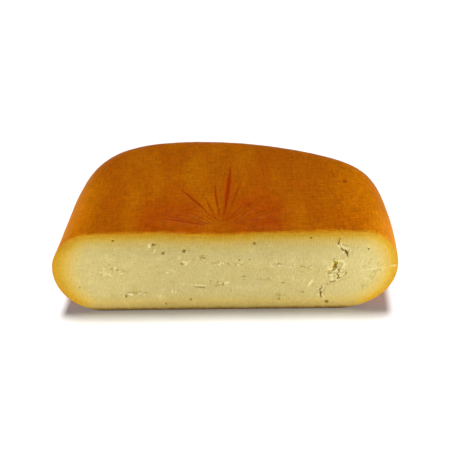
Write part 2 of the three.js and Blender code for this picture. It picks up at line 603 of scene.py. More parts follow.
@dataclass(frozen=True)
class HalfForm:
    """The form of the half in millimetres, with the cut on y = 0, the back at +y and the base on z = 0."""

    half_width: float = 100.0
    depth: float = 119.0
    height: float = 59.0
    squareness: Ends = Ends(11.0, 3.6)
    back_skew: float = 0.09
    back_bow: float = 0.22
    side_bow: Ends = Ends(0.03, -0.02)
    shoulder: Ends = Ends(23.0, 29.0)
    foot: Ends = Ends(34.0, 28.0)
    waist: Ends = Ends(31.0, 30.0)
    edge_roundness: float = 2.1
    crown: float = 0.5
    star: tuple[float, float] = (-1.2, 8.0)
    dimple_depth: float = 1.8
    dimple_radius: float = 22.0
    pleat_height: float = 0.35
    pleat_count: int = 17
    pleat_radius: float = 26.0
    pleat_fade: int = 3

    def outline(self, turn: np.ndarray) -> np.ndarray:
        """Find points on the widest outline, seen from above.

        Args:
            turn: Angles round the half, 0 at the right end of the cut.

        Returns:
            The x and y of each point.
        """
        power = self.squareness.at(turn)
        along = np.abs(np.cos(turn)) / self.half_width
        behind = np.abs(np.sin(turn)) / self.depth
        reach = (along**power + behind**power) ** (-1 / power)
        across = reach * np.cos(turn) / self.half_width
        back = reach * np.sin(turn) / self.depth
        # The sides bow most halfway to the back.
        side_bow = 4 * self.side_bow.at(turn) * back * (1 - back)
        back_bow = -self.back_skew * across - self.back_bow * across**2
        x = self.half_width * across * (1 + side_bow)
        return np.stack([x, self.depth * back * (1 + back_bow)], axis=-1)

    def middle(self) -> float:
        """Find the x halfway between the outline's two sides."""
        x = self.outline(np.linspace(0, math.pi, OUTLINE_STEPS + 1))[:, 0]
        return (x.min() + x.max()) / 2

    def top_height(self, flat: np.ndarray) -> np.ndarray:
        """Find the height of the top face.

        Args:
            flat: The x and y of points on it.

        Returns:
            Their heights.
        """
        crown = self.crown * (1 - (flat**2).sum(axis=-1) / self.half_width**2)
        from_star = flat - np.array(self.star)
        radius = np.hypot(from_star[..., 0], from_star[..., 1])
        dimple = self.dimple_depth * np.exp(-((radius / self.dimple_radius) ** 2))
        share = radius / self.pleat_radius
        swell = (share * np.exp(1 - share)) ** self.pleat_fade
        angle = np.arctan2(from_star[..., 1], from_star[..., 0])
        pleat = self.pleat_height * swell * np.cos(self.pleat_count * angle)
        return self.height + crown - dimple + pleat

    def on_top(self, flat: np.ndarray) -> np.ndarray:
        """Lift points of the plan, x and y, onto the top face."""
        return np.column_stack([flat, self.top_height(flat)])

    def side(self, turn: np.ndarray, tilt: np.ndarray) -> np.ndarray:
        """Find points on the rounded side.

        Args:
            turn: Angles round the half.
            tilt: Angles up the side, a quarter turn at the top face and minus a quarter turn at the base.

        Returns:
            The x, y and z of each point.
        """
        power = 2 / self.edge_roundness
        outline = self.outline(turn)
        reach = np.linalg.norm(outline, axis=-1)
        upper = tilt > 0
        drawn = 1 - np.abs(np.cos(tilt)) ** power
        inset = np.where(upper, self.shoulder.at(turn), self.foot.at(turn)) * drawn
        flat = outline * (1 - inset / reach)[..., None]
        waist = self.waist.at(turn)
        rim = self.top_height(outline * (1 - self.shoulder.at(turn) / reach)[..., None])
        height = waist + np.where(upper, rim - waist, -waist) * np.abs(np.sin(tilt)) ** power
        return np.concatenate([flat, height[..., None]], axis=-1)

    def even_turns(self, count: int, fineness: int = 40) -> np.ndarray:
        """Divide the outline into equal lengths.

        Args:
            count: The number of lengths.
            fineness: How many steps each is measured in.

        Returns:
            The turns at their ends.
        """
        fine = np.linspace(0, math.pi, fineness * count + 1)
        run = lengths_along(self.outline(fine))
        return np.interp(np.linspace(0, run[-1], count + 1), run, fine)


@dataclass(frozen=True)
class Crease:
    """A fold that runs out from the star: its direction in degrees, its ends, its width and its depth."""

    angle: float
    start: float
    end: float
    width: float
    depth: float
    sway: float = 0.9
    sway_turns: int = 7
    steps: int = 24

    def path(self, star: Sequence[float]) -> np.ndarray:
        """Lay the fold on the top face.

        Args:
            star: The x and y of the star's middle.

        Returns:
            The x and y of points along it.
        """
        share = np.linspace(0, 1, self.steps + 1)
        along = self.start + (self.end - self.start) * share
        turn = math.radians(self.angle)
        aside = self.sway * np.sin(math.pi * share) * math.cos(self.sway_turns * turn)
        x = star[0] + along * math.cos(turn) - aside * math.sin(turn)
        y = star[1] + along * math.sin(turn) + aside * math.cos(turn)
        return np.stack([x, y], axis=-1)


@dataclass(frozen=True)
class Crack:
    """A crack in the cut face: the x and z of its bends, its opening and its depth."""

    bends: tuple[tuple[float, float], ...]
    width: float
    depth: float
    steps: int = 40

    def path(self) -> np.ndarray:
        """Lay the crack on the cut face.

        Returns:
            The x and z of evenly spread points along it.
        """
        bends = np.array(self.bends)
        run = lengths_along(bends)
        even = np.linspace(0, run[-1], self.steps + 1)
        return np.stack([np.interp(even, run, bends[:, axis]) for axis in (0, 1)], axis=-1)


Groove = Union[Crease, Crack]


@dataclass(frozen=True)
class Eye:
    """A round hole: its place on the cut, x and z, or on the top, x and y, and its diameter."""

    across: float
    up: float
    diameter: float

    def gap(self, flat: np.ndarray) -> np.ndarray:
        """Measure how far points lie outside the hole."""
        return np.hypot(flat[:, 0] - self.across, flat[:, 1] - self.up) - self.diameter / 2


@dataclass(frozen=True)
class Patch:
    """A patch of the cut that the knife marked: its middle, half lengths, slope in degrees and strength."""

    across: float
    up: float
    long: float
    short: float
    slope: float
    strength: float

    def share(self, flat: np.ndarray) -> np.ndarray:
        """Find how strongly the cut is marked.

        Args:
            flat: The x and z of points on the cut.

        Returns:
            A value from 0 to 1 for each.
        """
        turn = math.radians(self.slope)
        x, z = flat[:, 0] - self.across, flat[:, 1] - self.up
        along = (x * math.cos(turn) + z * math.sin(turn)) / self.long
        aside = (z * math.cos(turn) - x * math.sin(turn)) / self.short
        return self.strength * np.exp(-(along**2 + aside**2))


@dataclass(frozen=True)
class Marks:
    """What breaks the smooth surface: folds in the top, and cracks, eyes, tears and smears in the cut."""

    creases: tuple[Crease, ...] = rows(
        Crease,
        (4, 12, 38, 1.4, 0.45),
        (24, 14, 38, 1.2, 0.45),
        (41, 9, 28, 1.2, 0.4),
        (57, 8, 26, 1.1, 0.4),
        (76, 15, 51, 1.4, 0.5),
        (85, 5, 63, 2.2, 1.1),
        (96, 7, 46, 1.3, 0.7),
        (110, 9, 30, 1.1, 0.5),
        (126, 8, 46, 1.7, 0.9),
        (145, 10, 28, 1.1, 0.5),
        (163, 11, 42, 1.3, 0.6),
        (170, 7, 37, 1.7, 0.8),
    )
    ray_angles: tuple[float, float] = (30.0, 155.0)
    ray_count: int = 14
    ray_start: float = 5.0
    ray_ends: tuple[float, float] = (13.0, 21.0)
    ray_swings: int = 5
    ray_width: float = 1.0
    ray_depth: float = 0.42
    cracks: tuple[Crack, ...] = rows(
        Crack,
        (((64.3, 55.4), (64.0, 51.0), (65.6, 48.6)), 1.7, 0.66),
        (((65.4, 49.2), (67.6, 46.4), (69.6, 43.4), (71.4, 41.2)), 2.3, 0.9),
        (((62.6, 40.1), (63.8, 36.7), (63.3, 33.5), (62, 30.1)), 4.0, 0.66),
        (((66.8, 36.1), (65.5, 28.4), (67, 25.4), (64.2, 22.8), (59.6, 20.1)), 2.0, 0.7),
        (((71.8, 31), (70.9, 28.8), (69.1, 27)), 1.6, 0.7),
        (((58.6, 19.5), (56.1, 15.8), (57, 12.8), (58.5, 7.9)), 2.0, 0.8),
        (((-68.3, 37.3), (-64.4, 35.5), (-60.1, 31.7)), 1.1, 0.8),
        (((-21.3, 20.2), (-14.8, 19.6), (-9.3, 18.5)), 1.2, 0.6),
    )
    eyes: tuple[Eye, ...] = rows(
        Eye,
        (-62.1, 55.0, 1.8),
        (-40.0, 51.8, 1.9),
        (-34.8, 45.6, 2.1),
        (-22.8, 47.2, 2.4),
        (-24.7, 37.5, 1.9),
        (16.6, 52.2, 2.0),
        (48.1, 55.6, 1.7),
        (-59.5, 12.0, 1.9),
        (-36.0, 5.4, 1.6),
        (-20.7, 8.6, 1.7),
        (32.2, 8.5, 1.8),
        (61.2, 5.8, 2.9),
    )
    small_eyes: tuple[Eye, ...] = rows(
        Eye,
        (-86.2, 19.6, 1.2),
        (-79.4, 32.5, 0.9),
        (-54.1, 42.7, 0.9),
        (-51.0, 16.0, 1.0),
        (-11.8, 41.6, 1.2),
        (-8.7, 23.5, 1.2),
        (-4.0, 22.9, 1.2),
        (3.7, 15.7, 1.2),
        (8.5, 39.8, 1.3),
        (11.1, 27.2, 1.3),
        (14.2, 40.2, 1.2),
        (21.0, 25.1, 1.0),
        (26.1, 25.0, 1.3),
        (30.8, 36.7, 1.3),
        (34.3, 21.8, 1.4),
        (39.5, 35.1, 1.2),
        (46.3, 14.0, 1.3),
        (81.3, 47.2, 1.5),
    )
    pits: tuple[Eye, ...] = rows(Eye, (74.8, 50.8, 2.9), (-22.9, 63.2, 1.8))
    tears: tuple[Patch, ...] = rows(
        Patch,
        (64.5, 31.0, 9.5, 6.0, 75, 0.8),
        (66.5, 48.0, 6.0, 3.0, -55, 0.6),
        (57.5, 15.0, 7.0, 3.5, 100, 0.7),
        (80.3, 19.6, 3.0, 2.0, 0, 0.5),
        (-64.0, 34.0, 7.0, 2.4, -35, 0.7),
        (-73.0, 34.0, 17.0, 13.0, -20, 0.36),
        (84.0, 31.0, 14.0, 15.0, 0, 0.33),
        (-53.0, 14.5, 8.0, 2.4, 5, 0.7),
        (-3.0, 21.5, 6.0, 1.8, 15, 0.8),
        (-40.2, 51.0, 3.0, 2.6, 0, 0.8),
        (-21.8, 38.8, 3.2, 2.2, 0, 0.8),
        (-12.8, 42.5, 3.2, 2.8, 0, 0.7),
        (-2.0, 38.0, 9.0, 2.0, 0, 0.6),
        (9.0, 36.0, 7.0, 2.0, 0, 0.5),
        (29.0, 36.2, 6.0, 1.8, 0, 0.6),
        (45.0, 34.5, 9.0, 1.8, -12, 0.6),
        (24.0, 25.0, 6.0, 1.6, 0, 0.6),
        (32.2, 12.0, 3.2, 2.0, 0, 0.7),
    )
    smears: tuple[Patch, ...] = rows(
        Patch,
        (50.3, 22.0, 4.2, 0.9, 72, 0.9),
        (84.0, 32.0, 14.0, 0.8, 7, 0.6),
        (-16.2, 20.9, 6.5, 1.0, -5, 0.7),
        (-31.4, 16.2, 2.2, 0.8, 90, 0.7),
        (-29.4, 15.6, 2.2, 0.7, 90, 0.6),
        (-33.5, 31.0, 1.6, 1.0, 0, 0.6),
        (-39.5, 47.5, 2.4, 0.6, 70, 0.7),
        (80.0, 26.5, 5.0, 0.8, 12, 0.3),
        (97.4, 34.6, 2.6, 1.2, 8, 0.65),
    )
    pore_count: int = 34
    pore_sizes: tuple[float, float] = (0.4, 0.8)
    pore_margin: float = 6.0
    marked_limit: float = 0.25
    marked_gap: float = 1.0
    fold_stride: int = 6
    seed: int = 7

    def folds(self) -> list[Crease]:
        """Lay out the star.

        Returns:
            Its long folds, and then short fine rays close to its middle.
        """
        near, far = self.ray_ends
        rays = []
        for angle in np.linspace(*self.ray_angles, self.ray_count):
            end = near + (far - near) * math.sin(math.radians(self.ray_swings * angle)) ** 2
            rays.append(Crease(angle, self.ray_start, end, self.ray_width, self.ray_depth))
        return [*self.creases, *rays]

    def pores(self, form: HalfForm) -> list[Eye]:
        """Scatter the smallest eyes over the cut.

        Args:
            form: The form whose cut takes them.

        Returns:
            The eyes, the same each time.
        """
        draw = random.Random(self.seed)
        inner_width = form.half_width - form.shoulder.left
        low, high = self.pore_margin, form.height - self.pore_margin
        spans = ((-inner_width, inner_width), (low, high), self.pore_sizes)
        return [Eye(*(draw.uniform(*span) for span in spans)) for _ in range(self.pore_count)]

    def holes(self, form: HalfForm) -> list[Eye]:
        """Give every eye of the cut, the large ones first."""
        return [*self.eyes, *self.small_eyes, *self.pores(form)]

    @staticmethod
    def strongest(patches: Sequence[Patch], flat: np.ndarray) -> np.ndarray:
        """Give how strongly patches mark the cut, from 0 to 1, at the x and z of points on it."""
        return np.max([patch.share(flat) for patch in patches], axis=0)

    def cut_gap(self, flat: np.ndarray, form: HalfForm) -> np.ndarray:
        """Measure how far points of the cut lie from the nearest mark or from the base.

        Args:
            flat: The x and z of the points.
            form: The form whose cut it is.

        Returns:
            The distances, 0 inside a crack or an eye and at most the marked gap in a tear or a smear.
        """
        gaps = [gap_to_path(flat, np.array(crack.bends)) - crack.width / 2 for crack in self.cracks]
        gaps += [eye.gap(flat) for eye in self.holes(form)]
        marked = self.strongest((*self.tears, *self.smears), flat)
        gaps += [np.where(marked > self.marked_limit, self.marked_gap, np.inf), flat[:, 1]]
        return np.maximum(np.min(gaps, axis=0), 0)

    def top_gap(self, flat: np.ndarray, form: HalfForm) -> np.ndarray:
        """Measure how far points of the top lie from the nearest fold or pit.

        Args:
            flat: The x and y of the points.
            form: The form whose top it is.

        Returns:
            The distances, 0 inside a fold or a pit.
        """
        gaps = [pit.gap(flat) for pit in self.pits]
        for fold in self.folds():
            gaps.append(gap_to_path(flat, fold.path(form.star)[:: self.fold_stride]) - fold.width / 2)
        return np.maximum(np.min(gaps, axis=0), 0)


class Region(Enum):
    """The faces of the half. The value is where its origin lies on the UV map's sheet, in millimetres."""

    CUT = (103.0, 108.0)
    TOP = (78.0, 172.0)
    BASE = (238.0, 172.0)
    SIDE = (3.0, 3.0)


@dataclass
class HalfSurface:
    """The closed surface of the half before its relief, finer where the relief is finer."""

    form: HalfForm
    marks: Marks
    columns: int = 230
    shoulder_rows: int = 34
    foot_rows: int = 32
    cut_spacing: float = 0.72
    cut_reach: tuple[float, float] = (2.0, 0.5)
    top_spacing: float = 1.1
    top_reach: tuple[float, float] = (2.2, 0.5)
    base_spacing: float = 6.0
    base_edge_spacing: float = 1.44
    jitter: float = 0.3
    edge_clearance: float = 0.6
    paste_fade: float = 1.2
    rind_fade: float = 4.0
    foot_fade: float = 3.0
    foot_round: float = 0.45
    foot_reach: float = 6.0
    sheet: float = 340.0
    seed: int = 11
    points: np.ndarray = field(init=False)
    faces: list[tuple[Region, np.ndarray]] = field(init=False)
    draw: np.random.Generator = field(init=False)

    def __post_init__(self) -> None:
        """Start with no points and no faces."""
        self.points = np.zeros((0, 3))
        self.faces = []
        self.draw = np.random.default_rng(self.seed)

    def _place(self, points: np.ndarray) -> np.ndarray:
        """Add points.

        Args:
            points: The x, y and z of each, in any array shape.

        Returns:
            Their numbers, in the same shape.
        """
        first = len(self.points)
        self.points = np.concatenate([self.points, points.reshape(-1, 3)])
        return np.arange(first, len(self.points)).reshape(points.shape[:-1])

    def _side_grid(self) -> np.ndarray:
        """Build the rounded side.

        Returns:
            The numbers of its points, a row for each column from the right end of the cut to the left.
        """
        turns = self.form.even_turns(self.columns)
        upper = np.linspace(QUARTER_TURN, 0, self.shoulder_rows + 1)
        lower = np.linspace(0, -QUARTER_TURN, self.foot_rows + 1)[1:]
        turn, tilt = np.meshgrid(turns, np.concatenate([upper, lower]), indexing="ij")
        points = self.form.side(turn, tilt)
        points[[0, -1], :, 1] = 0
        points[:, -1, 2] = 0
        grid = self._place(points)
        quads = np.stack([grid[:-1, :-1], grid[:-1, 1:], grid[1:, 1:], grid[1:, :-1]], axis=-1)
        self.faces.append((Region.SIDE, quads.reshape(-1, 4)))
        return grid

    def _edge(self, start: int, end: int, spacing: float) -> np.ndarray:
        """Add the points of a cut edge between two points, on the top face or on the base.

        Args:
            start: The number of the first point.
            end: The number of the last point.
            spacing: The distance between points.

        Returns:
            The numbers of the points, with both ends.
        """
        first, last = self.points[start], self.points[end]
        count = max(2, round(abs(last[0] - first[0]) / spacing))
        x = np.linspace(first[0], last[0], count + 1)[1:-1]
        flat = np.column_stack([x, np.zeros(len(x))])
        points = self.form.on_top(flat) if first[2] > 0 else on_base(flat)
        return np.concatenate([[start], self._place(points), [end]])

    def _lattice(
        self,
        loop: np.ndarray,
        spacing: float,
        gap: Callable[[np.ndarray], np.ndarray],
        reach: Sequence[float] = (),
    ) -> np.ndarray:
        """Spread points inside an outline, at half the spacing near marks and a quarter next to them.

        Args:
            loop: The outline's points, two numbers each.
            spacing: The widest spacing.
            gap: A function that measures the distance from points to the nearest mark.
            reach: The distances within which the spacing is halved once and twice.

        Returns:
            The points.
        """
        finest = spacing / 2 ** len(reach)
        low, high = loop.min(axis=0), loop.max(axis=0)
        ticks = [np.arange(low[axis], high[axis], finest) for axis in (0, 1)]
        grid = np.stack(np.meshgrid(*ticks, indexing="ij"), axis=-1)
        gaps = gap(grid.reshape(-1, 2)).reshape(grid.shape[:2])
        step = np.full(gaps.shape, spacing)
        keep = np.zeros(gaps.shape, bool)
        for level, limit in enumerate([np.inf, *reach]):
            stride = 2 ** (len(reach) - level)
            keep[::stride, ::stride] |= gaps[::stride, ::stride] < limit
            step[gaps < limit] = spacing / 2**level
        points, step = grid[keep], step[keep]
        points = points + (self.draw.random(points.shape) - MIDDLE) * self.jitter * step[:, None]
        clear = gap_to_path(points, closed(loop)) > self.edge_clearance * step
        return points[lies_inside(points, loop) & clear]

    def _fill(self, region: Region, loop: np.ndarray, inner: np.ndarray, axes: Sequence[int]) -> None:
        """Cover the inside of an outline with triangles.

        Args:
            region: The face that they belong to.
            loop: The numbers of the outline's points.
            inner: The numbers of the points inside it.
            axes: The two axes of the plane, in the order that turns the triangles outwards.
        """
        numbers = np.concatenate([loop, inner])
        flat = [Vector(point) for point in self.points[numbers][:, list(axes)]]
        edges = [(i, (i + 1) % len(loop)) for i in range(len(loop))]
        _, _, triangles, origins, _, _ = delaunay_2d_cdt(flat, edges, [], FILL_INSIDE, TINY)
        source = np.array([numbers[origin[0]] for origin in origins])
        self.faces.append((region, source[np.array(triangles)]))

    def build(self) -> bpy.types.Object:
        """Build the surface as an object.

        Returns:
            The object, with the numbers that the relief and the finish read.
        """
        form, marks = self.form, self.marks
        side = self._side_grid()
        top_edge = self._edge(side[-1, 0], side[0, 0], self.cut_spacing)
        base_edge = self._edge(side[-1, -1], side[0, -1], self.base_edge_spacing)

        rim = np.concatenate([side[:, 0], top_edge[1:-1]])
        outline = self.points[rim][:, :2]
        flat = self._lattice(outline, self.top_spacing, lambda at: marks.top_gap(at, form), self.top_reach)
        self._fill(Region.TOP, rim, self._place(form.on_top(flat)), (0, 1))

        foot = np.concatenate([side[:, -1], base_edge[1:-1]])
        outline = self.points[foot][:, :2]
        flat = self._lattice(outline, self.base_spacing, lambda at: np.full(len(at), np.inf))
        self._fill(Region.BASE, foot, self._place(on_base(flat)), (1, 0))

        section = np.concatenate([top_edge[::-1], side[-1, 1:], base_edge[1:], side[0, -2:0:-1]])
        outline = self.points[section][:, [0, 2]]
        flat = self._lattice(outline, self.cut_spacing, lambda at: marks.cut_gap(at, form), self.cut_reach)
        inner = self._place(on_cut(flat))
        self._fill(Region.CUT, section, inner, (0, 2))
        self._round_foot()
        return self._to_object(side, inner, gap_to_path(flat, closed(outline)))

    def _round_foot(self) -> None:
        """Draw the lower edge of the cut back in a small round, and the base and side behind it with it."""
        _, y, z = self.points.T
        rise = np.clip(self.foot_round - z, 0, self.foot_round)
        back = self.foot_round - np.sqrt(self.foot_round**2 - rise**2)
        self.points[:, 1] = y + back * np.clip(1 - y / self.foot_reach, 0, 1) ** 2

    def _to_object(self, side: np.ndarray, inner: np.ndarray, inset: np.ndarray) -> bpy.types.Object:
        """Make the mesh with its numbers and its UV map.

        Args:
            side: The numbers of the side's points.
            inner: The numbers of the points inside the cut.
            inset: How far each of those lies from the skin.

        Returns:
            The object.
        """
        _, y, z = self.points.T
        cut = np.zeros(len(y), bool)
        cut[inner] = True
        depth = np.zeros(len(y))
        depth[inner] = inset
        section = self.points[:, [0, 2]]
        mesh = bpy.data.meshes.new(NODE + "_surface")
        polygons = [face for _, faces in self.faces for face in faces.tolist()]
        mesh.from_pydata((self.points * MM).tolist(), [], polygons)
        skin = rise_smoothly(y, self.rind_fade) * rise_smoothly(z, self.foot_fade)
        numbers = {
            "inset": depth,
            "paste": np.where(cut, rise_smoothly(depth, self.paste_fade), 0),
            "rind": np.where(cut, 0, skin),
            "torn": np.where(cut, self.marks.strongest(self.marks.tears, section), 0),
            "smear": np.where(cut, self.marks.strongest(self.marks.smears, section), 0),
        }
        store_numbers(mesh, numbers)
        self._unfold(mesh, side)
        return put_in_scene(NODE + "_surface", mesh)

    def _unfold(self, mesh: bpy.types.Mesh, side: np.ndarray) -> None:
        """Lay the four faces out flat on one UV map, and note which corners belong to the cut.

        Args:
            mesh: The mesh, whose faces are in the order that they were added.
            side: The numbers of the side's points.
        """
        along = lengths_along(self.points[side[:, self.shoulder_rows]])
        down = lengths_along(self.points[side[len(side) // 2]])
        unrolled = np.zeros((len(self.points), 2))
        unrolled[side] = np.stack(np.meshgrid(along, down[-1] - down, indexing="ij"), axis=-1)
        flat = {
            Region.CUT: self.points[:, [0, 2]],
            Region.TOP: self.points[:, [0, 1]],
            Region.BASE: self.points[:, [0, 1]] * (-1, 1),
            Region.SIDE: unrolled,
        }
        places = [flat[region][faces.ravel()] + region.value for region, faces in self.faces]
        layer = mesh.uv_layers.new(name=BAKE_MAP)
        layer.data.foreach_set("uv", (np.concatenate(places) / self.sheet).astype(np.float32).ravel())
        marked = [np.full(faces.size, float(region is Region.CUT)) for region, faces in self.faces]
        store_numbers(mesh, {"cut_face": np.concatenate(marked)}, Domain.CORNER)


@dataclass(frozen=True)
class PressedRelief:
    """Presses folds, cracks, eyes and unevenness into the surface.

    Sizes are in millimetres. Reaches of a crack are shares of its half width, and those of a fold of its
    width.
    """

    path_step: float = 0.2
    hairline: float = 0.01
    wander: Grain = Grain(2.2)
    crack_wander: float = 0.9
    fold_wander: float = 0.35
    full_depth: float = 1.0
    ragged: Grain = Grain(0.9)
    ragged_width: Line = Line(0.85, -0.05)
    ragged_lip: Line = Line(2.0, -0.5)
    ragged_depth: Line = Line(1.4, 0.3)
    crack_floor: float = 0.4
    lip_reach: float = 3.0
    lip_height: float = 0.5
    lip_share: float = 0.8
    groove_reach: float = 0.45
    groove_share: float = 0.55
    valley_reach: float = 1.6
    crest_reach: tuple[float, float, float] = (0.35, 0.8, 1.5)
    fold_lip: float = 0.22
    hole_edge: Grain = Grain(0.9, 1.0)
    hole_depth: float = 0.8
    lumps: Grain = Grain(22.0)
    lump_height: float = 0.7
    dents: Grain = Grain(5.0)
    dent_height: float = 0.2
    knife: Grain = Grain(24.0)
    knife_height: float = 0.5
    grain: Grain = Grain(2.2, 3.0)
    grain_height: float = 0.3
    chips: Grain = Grain(1.5, 1.5, stretch=(1.0, 1.0, 0.55))
    torn_height: float = 2.6
    flake_size: float = 2.2
    flake_height: float = 1.2
    smear_height: float = 0.5

    def build(self) -> GeometryGraph:
        """Build the tree.

        Returns:
            The tree, whose inputs are the paths and holes as objects and the sizes as numbers.
        """
        objects = {label: "NodeSocketObject" for label in ("Cracks", "Folds", "Holes")}
        sizes = {label: "NodeSocketFloat" for label in self.values()}
        graph = GeometryGraph("PressedRelief", {**objects, **sizes})
        crack, lip, crack_height = self._cracks(graph)
        fold, crest, fold_height = self._folds(graph)
        hole, hole_height = self._holes(graph)

        def uneven(grain: Grain, height: str) -> Wire:
            """Make a noise of the height that an input gives."""
            return (graph.noise(graph.place, grain) - MIDDLE) * graph.inputs[height]

        paste, rind = graph.named("paste"), graph.named("rind")
        sockets = {"Vector": graph.place, "Scale": 1 / self.flake_size}
        cell = graph.add("ShaderNodeTexVoronoi", {"voronoi_dimensions": "3D"}, sockets)["Color"]
        flake = (graph.axes(cell)["X"] - MIDDLE) * graph.inputs["Flake Height"]
        tear = (uneven(self.chips, "Torn Height") + flake) * graph.named("torn")
        smear = graph.named("smear") * graph.inputs["Smear Height"]
        knife = uneven(self.knife, "Knife Height") + uneven(self.grain, "Grain Height")
        pressed = uneven(self.lumps, "Lump Height") + uneven(self.dents, "Dent Height")
        height = paste * (knife + tear + crack_height + smear) + rind * (pressed + fold_height)
        height = height + (paste + rind) * hole_height

        stored = {
            "crack": crack * paste,
            "ridge": (tear + lip * self.lip_share) * paste,
            "hole": hole,
            "fold": fold * rind,
            "crest": crest * rind,
        }
        shape = graph.store(graph.inputs["Geometry"], stored)
        normal = graph.add("GeometryNodeInputNormal")["Normal"]
        graph.close(graph.move(shape, normal, height))
        return graph

    @staticmethod
    def _sample(graph: GeometryGraph, points: Wire, *labels: str) -> list[Wire]:
        """Read the nearest of a set of points.

        Args:
            graph: The tree.
            points: The points.
            labels: Names of numbers that they hold.

        Returns:
            The distance to the nearest point in millimetres, and then its numbers.
        """
        nearest = graph.add("GeometryNodeSampleNearest", {"domain": "POINT"}, {"Geometry": points})["Index"]

        def read(kind: str, value: Wire) -> Wire:
            """Read a value of the nearest point, of that data type."""
            sockets = {"Geometry": points, "Value": value, "Index": nearest}
            return graph.add("GeometryNodeSampleIndex", {"data_type": kind}, sockets)["Value"]

        there = read("FLOAT_VECTOR", graph.place)
        gap = graph.vector("DISTANCE", "Value", Vector=graph.place, Vector_001=there)
        return [gap, *(read("FLOAT", graph.named(label)) for label in labels)]

    def _path(self, graph: GeometryGraph, source: str, wander: str) -> Wire:
        """Spread points along every path of an object.

        Args:
            graph: The tree.
            source: The input that holds the paths.
            wander: The input that says how far a path strays to either side.

        Returns:
            The points.
        """
        curve = graph.add("GeometryNodeMeshToCurve", None, {"Mesh": graph.shape_of(source)})["Curve"]
        sockets = {"Curve": curve, "Length": graph.inputs["Path Step"]}
        points = graph.add("GeometryNodeCurveToPoints", {"mode": "LENGTH"}, sockets)["Points"]
        return graph.ruffle(points, self.wander, graph.inputs[wander])

    def _cracks(self, graph: GeometryGraph) -> tuple[Wire, Wire, Wire]:
        """Open a ragged crack along every crack path.

        Args:
            graph: The tree.

        Returns:
            How deep in a crack each point is, how high on its lip, and the height that it gives.
        """
        points = self._path(graph, "Cracks", "Crack Wander")
        gap, width, depth = self._sample(graph, points, "width", "depth")
        ragged = graph.noise(graph.place, self.ragged)
        half = width * self.ragged_width.at(ragged) + self.hairline
        inside = graph.fade(gap, half * self.crack_floor, half)
        lip = graph.fade(gap, half, half * self.lip_reach) * (1 - inside) * self.ragged_lip.at(ragged)
        height = lip * graph.inputs["Lip Height"] - inside * depth * self.ragged_depth.at(ragged)
        return inside * self._strength(graph, depth), lip, height

    def _strength(self, graph: GeometryGraph, depth: Wire) -> Wire:
        """Give how strongly a groove shows, from 0 to 1 at the full depth."""
        return graph.math("MINIMUM", depth / self.full_depth, 1.0)

    def _folds(self, graph: GeometryGraph) -> tuple[Wire, Wire, Wire]:
        """Press a soft valley with a fine groove along every fold path.

        Args:
            graph: The tree.

        Returns:
            How deep in a fold each point is, how high on its crest, and the height that it gives.
        """
        points = self._path(graph, "Folds", "Fold Wander")
        gap, width, depth = self._sample(graph, points, "width", "depth")
        foot, crown, end = (width * reach for reach in self.crest_reach)
        groove = graph.fade(gap, 0.0, width * self.groove_reach + self.hairline)
        valley = graph.fade(gap, 0.0, width * self.valley_reach + self.hairline)
        rise = graph.ease(gap, foot, crown + self.hairline)
        strength = self._strength(graph, depth)
        crest = rise * graph.fade(gap, crown, end + self.hairline) * strength
        pressed = groove * self.groove_share + valley * (1 - self.groove_share)
        return pressed * strength, crest, crest * graph.inputs["Fold Lip"] - pressed * depth

    def _holes(self, graph: GeometryGraph) -> tuple[Wire, Wire]:
        """Open a round hole at every point of the object with the holes.

        Args:
            graph: The tree.

        Returns:
            How far inside a hole each point is, from 0 to 1, and the height that it gives.
        """
        gap, radius = self._sample(graph, graph.shape_of("Holes"), "radius")
        ragged = MIDDLE + graph.noise(graph.place, self.hole_edge)
        share = graph.math("MINIMUM", gap / (radius * ragged), 1.0)
        bowl = graph.math("SQRT", 1 - share * share)
        return bowl, -(bowl * radius * graph.inputs["Hole Depth"])

    def values(self) -> dict[str, float]:
        """Give the sizes that the tree's named inputs take.

        Returns:
            Each input's name with its size.
        """
        return {
            "Path Step": self.path_step * MM,
            "Crack Wander": self.crack_wander,
            "Fold Wander": self.fold_wander,
            "Lip Height": self.lip_height,
            "Fold Lip": self.fold_lip,
            "Lump Height": self.lump_height,
            "Dent Height": self.dent_height,
            "Knife Height": self.knife_height,
            "Grain Height": self.grain_height,
            "Torn Height": self.torn_height,
            "Flake Height": self.flake_height,
            "Hole Depth": self.hole_depth,
            "Smear Height": self.smear_height,
        }


